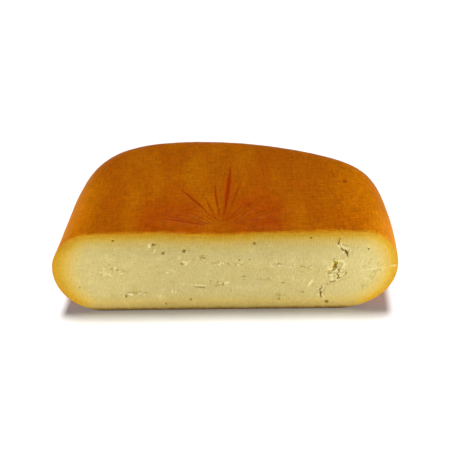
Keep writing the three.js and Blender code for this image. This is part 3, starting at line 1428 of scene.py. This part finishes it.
@dataclass(frozen=True)
class CurdCrumbs:
    """Crumbs of curd that cling to the torn paste. Sizes are in millimetres."""

    density: float = 0.55
    smallest: float = 0.18
    largest: float = 0.55
    proportions: tuple[float, float, float] = (1.0, 0.8, 0.6)
    fineness: int = 2
    torn: Passage = Passage(0.35, 0.9)
    dents: Grain = Grain(0.5, 1.0)
    dent_reach: float = 0.35
    inset: float = 30.0
    seed: int = 5

    def build(self) -> GeometryGraph:
        """Build the tree.

        Returns:
            The tree, whose inputs are the crumbs' density, sizes and seed.
        """
        floats = {label: "NodeSocketFloat" for label in ("Density", "Smallest", "Largest")}
        graph = GeometryGraph("CurdCrumbs", {**floats, "Seed": "NodeSocketInt"})
        seed = graph.inputs["Seed"]
        torn = graph.through(graph.named("torn") * graph.named("paste"), self.torn)
        density = torn * graph.inputs["Density"]
        sockets = {"Mesh": graph.inputs["Geometry"], "Density": density, "Seed": seed}
        points = graph.add("GeometryNodeDistributePointsOnFaces", None, sockets)["Points"]
        sockets = {"Min": graph.inputs["Smallest"], "Max": graph.inputs["Largest"], "Seed": seed}
        size = graph.add("FunctionNodeRandomValue", {"data_type": "FLOAT"}, sockets)["Value"]
        sockets = {"Min": (0.0,) * 3, "Max": (math.tau,) * 3, "Seed": seed}
        turn = graph.add("FunctionNodeRandomValue", {"data_type": "FLOAT_VECTOR"}, sockets)["Value"]
        sockets = {"Radius": 1.0, "Subdivisions": self.fineness}
        ball = graph.add("GeometryNodeMeshIcoSphere", None, sockets)["Mesh"]
        scale = graph.vector("SCALE", Vector=self.proportions, Scale=size)
        sockets = {"Points": points, "Instance": ball, "Rotation": turn, "Scale": scale}
        crumbs = graph.add("GeometryNodeInstanceOnPoints", None, sockets)["Instances"]
        crumbs = graph.add("GeometryNodeRealizeInstances", None, {"Geometry": crumbs})["Geometry"]
        crumbs = graph.ruffle(crumbs, self.dents, self.dent_reach)
        graph.close(graph.store(crumbs, {"inset": self.inset, "cut_face": 1.0, "crumb": 1.0}))
        return graph

    def values(self) -> dict[str, float]:
        """Give the values that the tree's named inputs take.

        Returns:
            Each input's name with its value.
        """
        return {
            "Density": self.density / MM**2,
            "Smallest": self.smallest * MM,
            "Largest": self.largest * MM,
            "Seed": self.seed,
        }


class CheeseGraph(ShaderGraph):
    """Builds the cheese's material, with the places that its finishes read, in millimetres."""

    def __init__(self, material: bpy.types.Material, origin: Vector, sheet: float) -> None:
        """Read the place on the cheese, its three axes, and the place on the UV map's sheet.

        Args:
            material: The material.
            origin: Where the form's own origin lies in the frame, in metres.
            sheet: The width of the UV map's sheet in millimetres.
        """
        super().__init__(material)
        inside = self.add("ShaderNodeTexCoord")["Object"]
        sockets = {"Vector": inside, "Location": -origin / MM, "Scale": (1 / MM,) * 3}
        self.place = self.add("ShaderNodeMapping", None, sockets)["Vector"]
        apart = self.axes(self.place)
        self.x, self.y, self.z = (apart[axis] for axis in "XYZ")
        flat = self.add("ShaderNodeUVMap", {"uv_map": BAKE_MAP})["UV"]
        self.sheet_place = self.vector("SCALE", Vector=flat, Scale=sheet)


@dataclass(frozen=True)
class Wash:
    """A soft patch of colour, seen from above: its middle, its half lengths and its strength."""

    across: float
    back: float
    wide: float
    long: float
    strength: float

    def spread(self, graph: CheeseGraph, blotch: Wire) -> Wire:
        """Spread the patch.

        Args:
            graph: The material's graph.
            blotch: A noise that breaks the patch's edge.

        Returns:
            Its strength at each place.
        """
        across = (graph.x - self.across) / self.wide
        along = (graph.y - self.back) / self.long
        reach = (across * across + along * along) * (MIDDLE + blotch)
        return self.strength * graph.math("EXPONENT", -(reach * reach))


@dataclass(frozen=True)
class RindFinish:
    """The oiled rind: colours from the screen, sizes in millimetres.

    Passages that are named for a height, a depth, a side or an edge act on the place, and the others on a
    noise or on a number that the mesh stores.
    """

    brown: Colour = (153, 76, 0)
    gold: Colour = (164, 91, 0)
    red: Colour = (150, 57, 0)
    # Brighter orange on the sides: partly the rind's own colour, partly painted light from the side lamps.
    side_orange_and_light: Colour = (208, 120, 0)
    thin: Colour = (186, 130, 20)
    # Painted light on the right side next to the cut.
    lit_amber: Colour = (234, 146, 26)
    # Painted highlight on the crests beside the folds.
    crest: Colour = (190, 104, 6)
    # Darker red in the fold cores: partly the rind's own colour, partly painted shade in the creases.
    groove: Colour = (142, 28, 0)
    # Painted shade inside the pits.
    pit: Colour = (118, 50, 4)
    patch: Grain = Grain(18.0, 4.0, 0.6, (1.0, 0.3, 0.5))
    patch_gold: Passage = Passage(0.35, 0.75)
    blotch: Grain = Grain(7.2, 4.0, 0.6)
    blotch_red: Passage = Passage(0.2, 0.6, 0.4, 1.0)
    gold_washes: tuple[Wash, ...] = rows(
        Wash,
        (-8, 22, 6, 15, 0.6),
        (-18, 64, 8, 18, 0.6),
        (41, 14, 8, 18, 0.7),
        (-53, 24, 6, 22, 0.8),
        (-82, 30, 9, 40, 0.7),
    )
    red_washes: tuple[Wash, ...] = rows(
        Wash,
        (20, 18, 20, 24, 0.68),
        (-31, 14, 23, 22, 0.66),
        (21, 64, 9, 22, 0.3),
        (-31, 45, 9, 8, 0.3),
        (2.5, 46, 3, 14, 0.6),
        (11, 29, 5, 3, 0.5),
        (26, 11, 6, 3, 0.5),
        (65, 14, 16, 12, 0.3),
    )
    # Painted light at both ends of the rind.
    painted_end_light_washes: tuple[Wash, ...] = rows(Wash, (88, 26, 20, 45, 0.28), (-94, 22, 14, 40, 0.34))
    lit_amber_washes: tuple[Wash, ...] = rows(Wash, (101, 0, 17, 26, 0.38))
    glow_heights: Passage = Passage(58.0, 42.0)
    glow_foot: Passage = Passage(6.0, 30.0, 0.15, 1.0)
    glow_depths: Passage = Passage(90.0, 45.0, 0.2, 1.0)
    thin_edge: Passage = Passage(3.2, 0.0, 0.0, 0.85)
    thin_waver: float = 4.0
    streaks: tuple[Grain, Grain] = (Grain(1.5, stretch=(0.2, 1.0, 1.0)), Grain(1.5, stretch=(1.0, 0.2, 1.0)))
    streak_shares: tuple[float, float] = (0.55, 0.45)
    streak_shade: Passage = Passage(0.3, 0.7, -0.16, 0.16)
    speck: Grain = Grain(1.7, 3.0, 0.6)
    speck_shade: Passage = Passage(0.25, 0.75, -0.13, 0.13)
    brushed_right: Passage = Passage(38.0, 70.0)
    brush_shade: Passage = Passage(0.53, 0.68, 0.0, 0.2)
    side_calm: Passage = Passage(58.0, 48.0, 1.0, 0.5)
    back_shade: Passage = Passage(40.0, 95.0, 1.03, 0.93)
    thread_pitch: tuple[float, float] = (2.1, 1.7)
    thread_waver: Grain = Grain(14.0)
    thread_stray: float = 3.0
    thread_wear: Grain = Grain(22.0)
    thread_worn: Passage = Passage(0.4, 0.65)
    weft_share: float = 0.3
    thread_height: float = 0.08
    thread_shade: float = 0.05
    crest_highlight_strength: float = 0.28
    valley_red: Passage = Passage(0.0, 0.36, 0.0, 0.7)
    groove_core_shade: Passage = Passage(0.35, 1.0, 0.0, 0.6)
    pit_shade_strength: float = 0.75
    roughness: float = 0.55
    coat: float = 0.018
    coat_roughness: float = 0.4

    def build(self, graph: CheeseGraph) -> tuple[Wire, Wire]:
        """Make the rind.

        Args:
            graph: The material's graph.

        Returns:
            The colour, and the height of the cloth's print in millimetres.
        """
        streak = self._streaks(graph)
        threads = self._threads(graph)
        speck = graph.noise(graph.place, self.speck)
        uneven = graph.through(streak, self.streak_shade) + graph.through(speck, self.speck_shade)
        brushed = graph.through(graph.x, self.brushed_right) * graph.through(streak, self.brush_shade)
        calm = graph.through(graph.z, self.side_calm)
        shade = 1 + (uneven + threads * self.thread_shade + brushed) * calm
        colour = graph.shade(self._ground(graph), shade * graph.through(graph.y, self.back_shade))

        fold = graph.number("fold")
        # Painted highlight: a paler gold on the fold crests.
        colour = graph.lay(colour, self.crest, graph.number("crest") * self.crest_highlight_strength)
        colour = graph.lay(colour, self.red, graph.through(fold, self.valley_red))
        # Darker red in the fold cores: partly the rind's own colour, partly painted shade in the creases.
        colour = graph.lay(colour, self.groove, graph.through(fold, self.groove_core_shade))
        # Painted shade: darker inside the pits.
        colour = graph.lay(colour, self.pit, graph.number("hole") * self.pit_shade_strength)
        return colour, (threads + streak - MIDDLE) * self.thread_height

    def _ground(self, graph: CheeseGraph) -> Wire:
        """Make the colour under the print: brown with gold and red washes, and brighter sides that are
        partly painted light.

        Args:
            graph: The material's graph.

        Returns:
            The colour.
        """
        patch = graph.noise(graph.place, self.patch)
        blotch = graph.noise(graph.place, self.blotch)

        def washed(washes: Sequence[Wash]) -> Wire:
            """Add soft patches together."""
            return sum((wash.spread(graph, blotch) for wash in washes), 0.0)

        golden = graph.through(patch, self.patch_gold) + washed(self.gold_washes)
        colour = graph.mix(golden, paint(self.brown), paint(self.gold))
        reddened = washed(self.red_washes) * graph.through(blotch, self.blotch_red)
        colour = graph.lay(colour, self.red, reddened)
        low = graph.through(graph.z, self.glow_heights) * graph.through(graph.z, self.glow_foot)
        low = low * graph.through(graph.y, self.glow_depths)
        # Brighter orange on the sides, partly the rind's own colour and partly painted light, with painted
        # light at both ends.
        colour = graph.lay(colour, self.side_orange_and_light, graph.math("MAXIMUM", low, washed(self.painted_end_light_washes)))
        thin = graph.through(graph.y + (blotch - MIDDLE) * self.thin_waver, self.thin_edge)
        colour = graph.lay(colour, self.thin, thin)
        # Painted light: a brighter amber on the right side next to the cut.
        return graph.lay(colour, self.lit_amber, washed(self.lit_amber_washes))

    def _streaks(self, graph: CheeseGraph) -> Wire:
        """Make fine streaks along and across the rind, around MIDDLE, as the cloth's threads leave them."""
        along, across = (graph.noise(graph.sheet_place, grain) for grain in self.streaks)
        return along * self.streak_shares[0] + across * self.streak_shares[1]

    def _threads(self, graph: CheeseGraph) -> Wire:
        """Make the print of the cloth.

        Args:
            graph: The material's graph.

        Returns:
            The height as a share of a thread's, from about -1 to 1.
        """
        apart = graph.axes(graph.sheet_place)
        waver = graph.noise(graph.sheet_place, self.thread_waver) * self.thread_stray
        weft, warp = (
            graph.math("SINE", (apart[axis] + waver) * (math.tau / pitch))
            for axis, pitch in zip("XY", self.thread_pitch)
        )
        worn = graph.through(graph.noise(graph.sheet_place, self.thread_wear), self.thread_worn)
        return (weft * self.weft_share + warp * (1 - self.weft_share)) * worn


@dataclass(frozen=True)
class PasteFinish:
    """The cut paste: colours from the screen, sizes in millimetres.

    Passages that are named for a height, a side, an end, the foot or the skin act on the place, those named
    for the inside on the share of the band, and the others on a noise or on a number that the mesh stores.
    """

    band: tuple[tuple[float, Colour], ...] = (
        (0.0, (208, 150, 30)),
        (0.05, (214, 158, 42)),
        (0.11, (210, 163, 48)),
        (0.17, (213, 169, 56)),
        (0.23, (217, 175, 68)),
        (0.3, (216, 180, 82)),
        (0.47, (214, 185, 102)),
        (0.8, (206, 187, 117)),
        (1.0, (205, 187, 123)),
    )
    pale: Colour = (241, 228, 165)
    deep: Colour = (184, 160, 88)
    # Painted shade: a warm ochre in the valleys of the torn paste.
    valley_shade_ochre: Colour = (182, 152, 54)
    # Painted shade inside the eyes.
    eye: Colour = (156, 122, 34)
    # Painted shade inside the cracks, darkest in their cores.
    crack_shade: Colour = (170, 138, 16)
    deep_crack_shade: Colour = (114, 78, 2)
    # A dark brown strip along the cut's lower edge: partly the rind's skin, partly painted shade where the
    # edge turns under.
    foot_skin_and_shade: Colour = (116, 78, 26)
    band_width: float = 14.0
    broad_left: Passage = Passage(76.0, 97.0, 0.0, 14.0)
    broad_right: Passage = Passage(76.0, 97.0, 0.0, 3.5)
    drift: Grain = Grain(4.0, 4.0, 0.65)
    drift_reach: float = 3.0
    foot: Passage = Passage(9.0, 0.0)
    foot_share: float = 0.35
    # Painted shade: darker near the base.
    painted_foot_shade: float = 0.21
    # Painted light and shade: brighter towards both ends of the cut, darker in its middle.
    ends: Passage = Passage(25.0, 85.0, 0.94, 1.08)
    # Painted shade: darker in the upper cut, except at the right end where light falls.
    upper_painted_shade: Passage = Passage(38.0, 57.0, 0.0, 0.18)
    lit_right: Passage = Passage(70.0, 92.0, 1.0, 0.1)
    # Painted shade: darker at the left end of the cut.
    left_painted_shade: Passage = Passage(-80.0, -97.0, 1.0, 0.92)
    pale_right: Passage = Passage(55.0, 92.0, 0.0, 0.14)
    pale_inside: Passage = Passage(0.3, 0.7)
    pale_heights: Passage = Passage(10.0, 34.0)
    skin: Passage = Passage(3.6, 0.2)
    skin_drift: float = 2.0
    inside: Passage = Passage(0.3, 0.8)
    mottle: Grain = Grain(7.0, 4.0, 0.6)
    mottle_pale: Passage = Passage(0.54, 0.75, 0.0, 0.35)
    mottle_deep: Passage = Passage(0.48, 0.28, 0.0, 0.4)
    grain: Grain = Grain(1.3, 3.0, 0.6)
    grain_ends: Passage = Passage(50.0, 72.0, 0.45, 0.65)
    grain_pale: Passage = Passage(0.56, 0.75)
    grain_deep: Passage = Passage(0.42, 0.25)
    grain_height: float = 1.0
    drag: Grain = Grain(0.8, stretch=(1.0, 1.0, 0.22))
    drag_shade: Passage = Passage(0.3, 0.7, 0.94, 1.06)
    drag_height: float = 0.25
    tear_valley_shade: Passage = Passage(-0.05, -0.4, 0.0, 0.6)
    # Paler ridges of the torn paste: partly fresh broken paste, partly painted highlight.
    tear_ridge_and_highlight: Passage = Passage(0.02, 0.3)
    tear_reach: Passage = Passage(0.1, 0.5)
    smear: Passage = Passage(0.15, 0.8)
    smear_grain: float = 0.5
    fresh_and_highlight_strength: float = 0.75
    eye_shade_reach: Passage = Passage(0.2, 1.0, 0.0, 0.85)
    crack_shade_reach: Passage = Passage(0.0, 0.65, 0.0, 0.95)
    crack_core_shade: Passage = Passage(0.6, 1.0, 0.0, 0.6)
    roughness: float = 0.62

    def build(self, graph: CheeseGraph) -> tuple[Wire, Wire]:
        """Make the paste.

        Args:
            graph: The material's graph.

        Returns:
            The colour, and the height of its grain in millimetres.
        """
        drift = graph.noise(graph.place, self.drift) - MIDDLE
        foot = graph.through(graph.z, self.foot)
        broad = graph.through(-graph.x, self.broad_left) + graph.through(graph.x, self.broad_right)
        inset = graph.number("inset") + drift * self.drift_reach
        share = inset / (broad + self.band_width) + self.foot_share * foot
        inner = graph.through(share, self.inside)
        colour = self._band(graph, share, foot)
        skin = graph.through(graph.z + drift * self.skin_drift, self.skin)
        # Dark strip along the lower edge: partly the rind's skin, partly painted shade.
        colour = graph.lay(colour, self.foot_skin_and_shade, skin)

        mottle = graph.noise(graph.place, self.mottle)
        colour = graph.lay(colour, self.pale, graph.through(mottle, self.mottle_pale) * inner)
        colour = graph.lay(colour, self.deep, graph.through(mottle, self.mottle_deep) * inner)
        grain = graph.noise(graph.place, self.grain)
        coarse = graph.through(abs(graph.x), self.grain_ends) * inner
        colour = graph.lay(colour, self.pale, graph.through(grain, self.grain_pale) * coarse)
        colour = graph.lay(colour, self.deep, graph.through(grain, self.grain_deep) * coarse)
        drag = graph.noise(graph.place, self.drag)
        colour = graph.shade(colour, graph.through(drag, self.drag_shade))
        colour = self._marks(graph, colour, grain)
        return colour, grain * self.grain_height + drag * self.drag_height

    def _band(self, graph: CheeseGraph, share: Wire, foot: Wire) -> Wire:
        """Make the colour from the yellow band to the cream middle, paler in places, with painted light
        towards the ends and painted shade in the middle, the upper cut, the left end and near the base.

        Args:
            graph: The material's graph.
            share: How far into the paste a place lies, 0 at the skin and 1 where the band ends.
            foot: How close to the base it is.

        Returns:
            The colour.
        """
        colour = graph.add("ShaderNodeValToRGB", {"stops": self.band}, {"Fac": share})["Color"]
        # Painted shade: darker in the upper cut away from the right end, and near the base.
        unlit = graph.through(graph.z, self.upper_painted_shade) * graph.through(graph.x, self.lit_right)
        painted_dimming = (1 - unlit) * (1 - self.painted_foot_shade * foot)
        # Painted light and shade: brighter towards both ends, darker in the middle.
        ends = graph.through(abs(graph.x), self.ends)
        # Painted shade at the left end, applied with the other painted light and shade.
        colour = graph.shade(colour, ends * painted_dimming * graph.through(graph.x, self.left_painted_shade))
        paler = graph.through(graph.x, self.pale_right) * graph.through(share, self.pale_inside)
        return graph.lay(colour, self.pale, paler * graph.through(graph.z, self.pale_heights))

    def _marks(self, graph: CheeseGraph, colour: Wire, grain: Wire) -> Wire:
        """Colour what breaks the cut: tears, smears, crumbs, eyes and cracks, with painted shade in their
        hollows and painted highlight on torn ridges.

        Args:
            graph: The material's graph.
            colour: The colour of the cut without them.
            grain: The noise of the paste's grain.

        Returns:
            The colour with them.
        """
        ridge = graph.number("ridge")
        crumb = graph.number("crumb")
        # Painted shade: a warm ochre in the valleys of the torn paste.
        colour = graph.lay(colour, self.valley_shade_ochre, graph.through(ridge, self.tear_valley_shade))
        torn = graph.through(graph.number("torn"), self.tear_reach)
        # Paler ridges of the torn paste: partly fresh broken paste, partly painted highlight.
        fresh_ridge_and_highlight = graph.through(ridge, self.tear_ridge_and_highlight) * torn
        smear = graph.through(graph.number("smear") + (grain - MIDDLE) * self.smear_grain, self.smear)
        fresh_and_highlight = graph.math("MAXIMUM", graph.math("MAXIMUM", fresh_ridge_and_highlight, smear), crumb)
        colour = graph.lay(colour, self.pale, fresh_and_highlight * self.fresh_and_highlight_strength)
        # Painted shade: darker inside the eyes.
        hole = graph.through(graph.number("hole"), self.eye_shade_reach) * (1 - crumb)
        colour = graph.lay(colour, self.eye, hole)
        # Painted shade: darker inside the cracks, darkest in their cores.
        crack = graph.number("crack") * (1 - crumb)
        colour = graph.lay(colour, self.crack_shade, graph.through(crack, self.crack_shade_reach))
        return graph.lay(colour, self.deep_crack_shade, graph.through(crack, self.crack_core_shade))


@dataclass(frozen=True)
class CheeseFinish:
    """One material for the whole half: rind outside, paste on the cut."""

    rind: RindFinish = RindFinish()
    paste: PasteFinish = PasteFinish()
    rough_patch: Grain = Grain(6.0, 3.0)
    rough_range: float = 0.12
    specular: float = 0.012
    scatter_weight: float = 0.35
    scatter_radius: tuple[float, float, float] = (0.9, 0.7, 0.25)
    scatter_scale: float = 0.4

    def build(self, origin: Vector, sheet: float) -> bpy.types.Material:
        """Build the material.

        Args:
            origin: Where the form's own origin lies in the frame, in metres.
            sheet: The width of the UV map's sheet in millimetres.

        Returns:
            The material.
        """
        material = bpy.data.materials.new("cheese")
        graph = CheeseGraph(material, origin, sheet)
        cut = graph.number("cut_face")
        rind_colour, rind_height = self.rind.build(graph)
        paste_colour, paste_height = self.paste.build(graph)
        height = rind_height + cut * (paste_height - rind_height)
        sockets = {"Strength": 1.0, "Distance": MM, "Height": height}
        bump = graph.add("ShaderNodeBump", None, sockets)["Normal"]
        patchy = self.rough_range * (graph.noise(graph.place, self.rough_patch) - MIDDLE)
        sockets = {
            "Base Color": graph.mix(cut, rind_colour, paste_colour),
            "Roughness": self.rind.roughness + patchy + cut * (self.paste.roughness - self.rind.roughness),
            "Normal": bump,
            "Coat Weight": (1 - cut) * self.rind.coat,
            "Coat Roughness": self.rind.coat_roughness,
            "Specular IOR Level": self.specular,
            "Subsurface Weight": self.scatter_weight,
            "Subsurface Radius": self.scatter_radius,
            "Subsurface Scale": self.scatter_scale * MM,
        }
        graph.close(graph.add("ShaderNodeBsdfPrincipled", None, sockets)["BSDF"])
        return material


@dataclass
class HalfCheese:
    """The half cheese as it is shown: the body with its relief, and the crumbs that cling to its cut."""

    form: HalfForm = HalfForm()
    marks: Marks = Marks()
    relief: PressedRelief = PressedRelief()
    crumbs: CurdCrumbs = CurdCrumbs()
    finish: CheeseFinish = CheeseFinish()
    sharp_edge: float = math.radians(50)
    taper: float = 0.6

    def origin(self) -> Vector:
        """Find where the form's own origin lies in the frame, in metres."""
        low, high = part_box(NODE)
        return Vector(((low.x + high.x) / 2 - self.form.middle() * MM, low.y, low.z))

    def build(self) -> list[bpy.types.Object]:
        """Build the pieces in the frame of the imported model.

        Returns:
            The body and the crumbs.
        """
        origin = self.origin()
        surface = HalfSurface(self.form, self.marks)
        base = surface.build()
        guides = self._guides()
        for drawn in (base, *guides.values()):
            drawn.data.transform(Matrix.Translation(origin))
        material = self.finish.build(origin, surface.sheet)
        values = {**self.relief.values(), **guides, "Material": material}
        body = self._piece("half_cheese_body", self.relief.build().apply(base, values))
        values = {**self.crumbs.values(), "Material": material}
        crumbs = self._piece("curd_crumbs", self.crumbs.build().apply(body, values))
        for drawn in (base, *guides.values()):
            bpy.data.objects.remove(drawn)
        return [body, crumbs]

    def _piece(self, name: str, mesh: bpy.types.Mesh) -> bpy.types.Object:
        """Make a finished mesh an object.

        Args:
            name: The piece's name.
            mesh: Its mesh.

        Returns:
            The object, smooth apart from its sharp edges.
        """
        mesh.name = name
        mesh.shade_smooth()
        mesh.set_sharp_from_angle(angle=self.sharp_edge)
        return put_in_scene(name, mesh)

    def _guides(self) -> dict[str, bpy.types.Object]:
        """Make the paths and points that the relief follows.

        Returns:
            An object for each input of the relief.
        """
        form, marks = self.form, self.marks
        folds = [(form.on_top(fold.path(form.star)), fold) for fold in marks.folds()]
        cracks = [(on_cut(crack.path()), crack) for crack in marks.cracks]
        eyes = marks.holes(form)
        eye_places = on_cut(np.array([(eye.across, eye.up) for eye in eyes]))
        pit_places = form.on_top(np.array([(pit.across, pit.up) for pit in marks.pits]))
        places = np.concatenate([eye_places, pit_places])
        radii = [hole.diameter / 2 for hole in (*eyes, *marks.pits)]
        return {
            "Folds": self._paths("folds", folds),
            "Cracks": self._paths("cracks", cracks),
            "Holes": self._guide("holes", places, [], {"radius": radii}),
        }

    def _paths(self, name: str, grooves: Sequence[tuple[np.ndarray, Groove]]) -> bpy.types.Object:
        """Make paths that hold the width and depth of their groove, tapered to both ends.

        Args:
            name: The object's name.
            grooves: The points of each path, with its groove.

        Returns:
            The object.
        """
        points = np.concatenate([path for path, _ in grooves])
        edges: list[tuple[int, int]] = []
        numbers: dict[str, list[float]] = {"width": [], "depth": []}
        first = 0
        for path, groove in grooves:
            swell = np.sin(np.linspace(0, math.pi, len(path))) ** self.taper
            numbers["width"].extend(groove.width * swell)
            numbers["depth"].extend(groove.depth * swell)
            edges.extend((first + i, first + i + 1) for i in range(len(path) - 1))
            first += len(path)
        return self._guide(name, points, edges, numbers)

    @staticmethod
    def _guide(
        name: str,
        points: np.ndarray,
        edges: Sequence[tuple[int, int]],
        numbers: Mapping[str, Sequence[float]],
    ) -> bpy.types.Object:
        """Make an object of points and edges that hold numbers.

        Args:
            name: The object's name.
            points: The points in millimetres.
            edges: Pairs of point numbers.
            numbers: Named values, one for each point.

        Returns:
            The object.
        """
        mesh = bpy.data.meshes.new(name)
        mesh.from_pydata((points * MM).tolist(), edges, [])
        store_numbers(mesh, numbers)
        return put_in_scene(name, mesh)


@dataclass(frozen=True)
class PhotoCamera:
    """The photograph's viewpoint in millimetres from the middle of the cut's lower edge, and its lens."""

    eye: tuple[float, float, float] = (1.942, -258.151, 266.161)
    aim: tuple[float, float, float] = (0.883, 45.0, 29.6)
    roll: float = -0.779
    lens: float = 47.794
    sensor: float = 36.0
    nearest: float = 10.0

    def build(self, origin: Vector) -> bpy.types.Object:
        """Build the camera and make it the scene's own.

        Args:
            origin: Where the middle of the cut's lower edge lies in the frame, in metres.

        Returns:
            The camera.
        """
        data = bpy.data.cameras.new("photo_camera")
        data.lens = self.lens
        data.sensor_width = self.sensor
        data.clip_start = self.nearest * MM
        camera = put_in_scene("photo_camera", data)
        facing = look_at(origin + Vector(self.eye) * MM, origin + Vector(self.aim) * MM)
        camera.matrix_world = facing @ Matrix.Rotation(math.radians(self.roll), 4, "Z")
        bpy.context.scene.camera = camera
        return camera


class Lamp(Enum):
    """The kinds of soft light in the studio. The value is Blender's own name."""

    BOX = "AREA"
    CEILING = "SUN"


@dataclass(frozen=True)
class SoftLight:
    """A soft light: where it stands in metres, how wide it is and how strong.

    A box is wide in metres and strong in watts. A ceiling lights everything below it evenly: it is wide in
    degrees, as seen from below, and strong in watts a square metre.
    """

    name: str
    lamp: Lamp
    place: tuple[float, float, float]
    width: float
    power: float
    aim: tuple[float, float, float] = (0.0, 0.0, 0.03)

    def build(self) -> bpy.types.Object:
        """Build the light.

        Returns:
            The light.
        """
        data = bpy.data.lights.new(self.name, self.lamp.value)
        data.energy = self.power
        if self.lamp is Lamp.CEILING:
            data.angle = math.radians(self.width)
        else:
            data.shape = "DISK"
            data.size = self.width
        light = put_in_scene(self.name, data)
        light.matrix_world = look_at(Vector(self.place), Vector(self.aim))
        return light


@dataclass(frozen=True)
class Studio:
    """A pale floor under soft light."""

    floor_half: float = 12.0
    floor_colour: Colour = (246, 246, 246)
    floor_roughness: float = 0.9
    sky_colour: Colour = (228, 240, 255)
    sky_strength: float = 0.1
    backdrop_colour: Colour = (255, 255, 255)
    backdrop_strength: float = 1.0
    lights: tuple[SoftLight, ...] = rows(
        SoftLight,
        ("ceiling", Lamp.CEILING, (-0.04, 0.56, 4.0), 13.0, 3.3),
        ("right_box", Lamp.BOX, (0.58, -0.55, 0.14), 0.2, 2.88),
        ("left_box", Lamp.BOX, (-0.6, -0.54, 0.14), 0.22, 1.98),
    )

    def build(self) -> None:
        """Build the floor, the sky and the lights, and show colours as they are."""
        bpy.context.scene.view_settings.view_transform = "Standard"
        self._sky()
        for light in self.lights:
            light.build()
        half = self.floor_half
        mesh = bpy.data.meshes.new("floor")
        corners = [(-half, -half, 0), (half, -half, 0), (half, half, 0), (-half, half, 0)]
        mesh.from_pydata(corners, [], [(0, 1, 2, 3)])
        mesh.materials.append(self._floor_material())
        floor = put_in_scene("floor", mesh)

    def _sky(self) -> None:
        """Light the scene evenly from all round, in front of a backdrop as pale as the floor."""
        world = bpy.data.worlds.new("studio")
        graph = ShaderGraph(world)
        seen = graph.add("ShaderNodeLightPath")["Is Camera Ray"]
        strength = self.sky_strength + seen * (self.backdrop_strength - self.sky_strength)
        colour = graph.mix(seen, paint(self.sky_colour), paint(self.backdrop_colour))
        sky = graph.add("ShaderNodeBackground", None, {"Color": colour, "Strength": strength})["Background"]
        graph.close(sky, "ShaderNodeOutputWorld")
        bpy.context.scene.world = world

    def _floor_material(self) -> bpy.types.Material:
        """Build the floor's plain matt white.

        Returns:
            The material.
        """
        material = bpy.data.materials.new("floor")
        graph = ShaderGraph(material)
        sockets = {
            "Base Color": paint(self.floor_colour),
            "Roughness": self.floor_roughness,
            "Specular IOR Level": 0.0,
        }
        graph.close(graph.add("ShaderNodeBsdfPrincipled", None, sockets)["BSDF"])
        return material


def main() -> None:
    """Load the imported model, build the cheese and its studio, and report each piece."""
    logging.basicConfig(level=logging.INFO, format="%(name)s: %(message)s")
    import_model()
    cheese = HalfCheese()
    PhotoCamera().build(cheese.origin())
    Studio().build()
    pieces = cheese.build()
    for piece in pieces:
        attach(piece, BODY)
        piece.data.calc_loop_triangles()
        log.info("%s has %d triangles", piece.name, len(piece.data.loop_triangles))
    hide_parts(NODE)


if __name__ == "__main__":
    main()
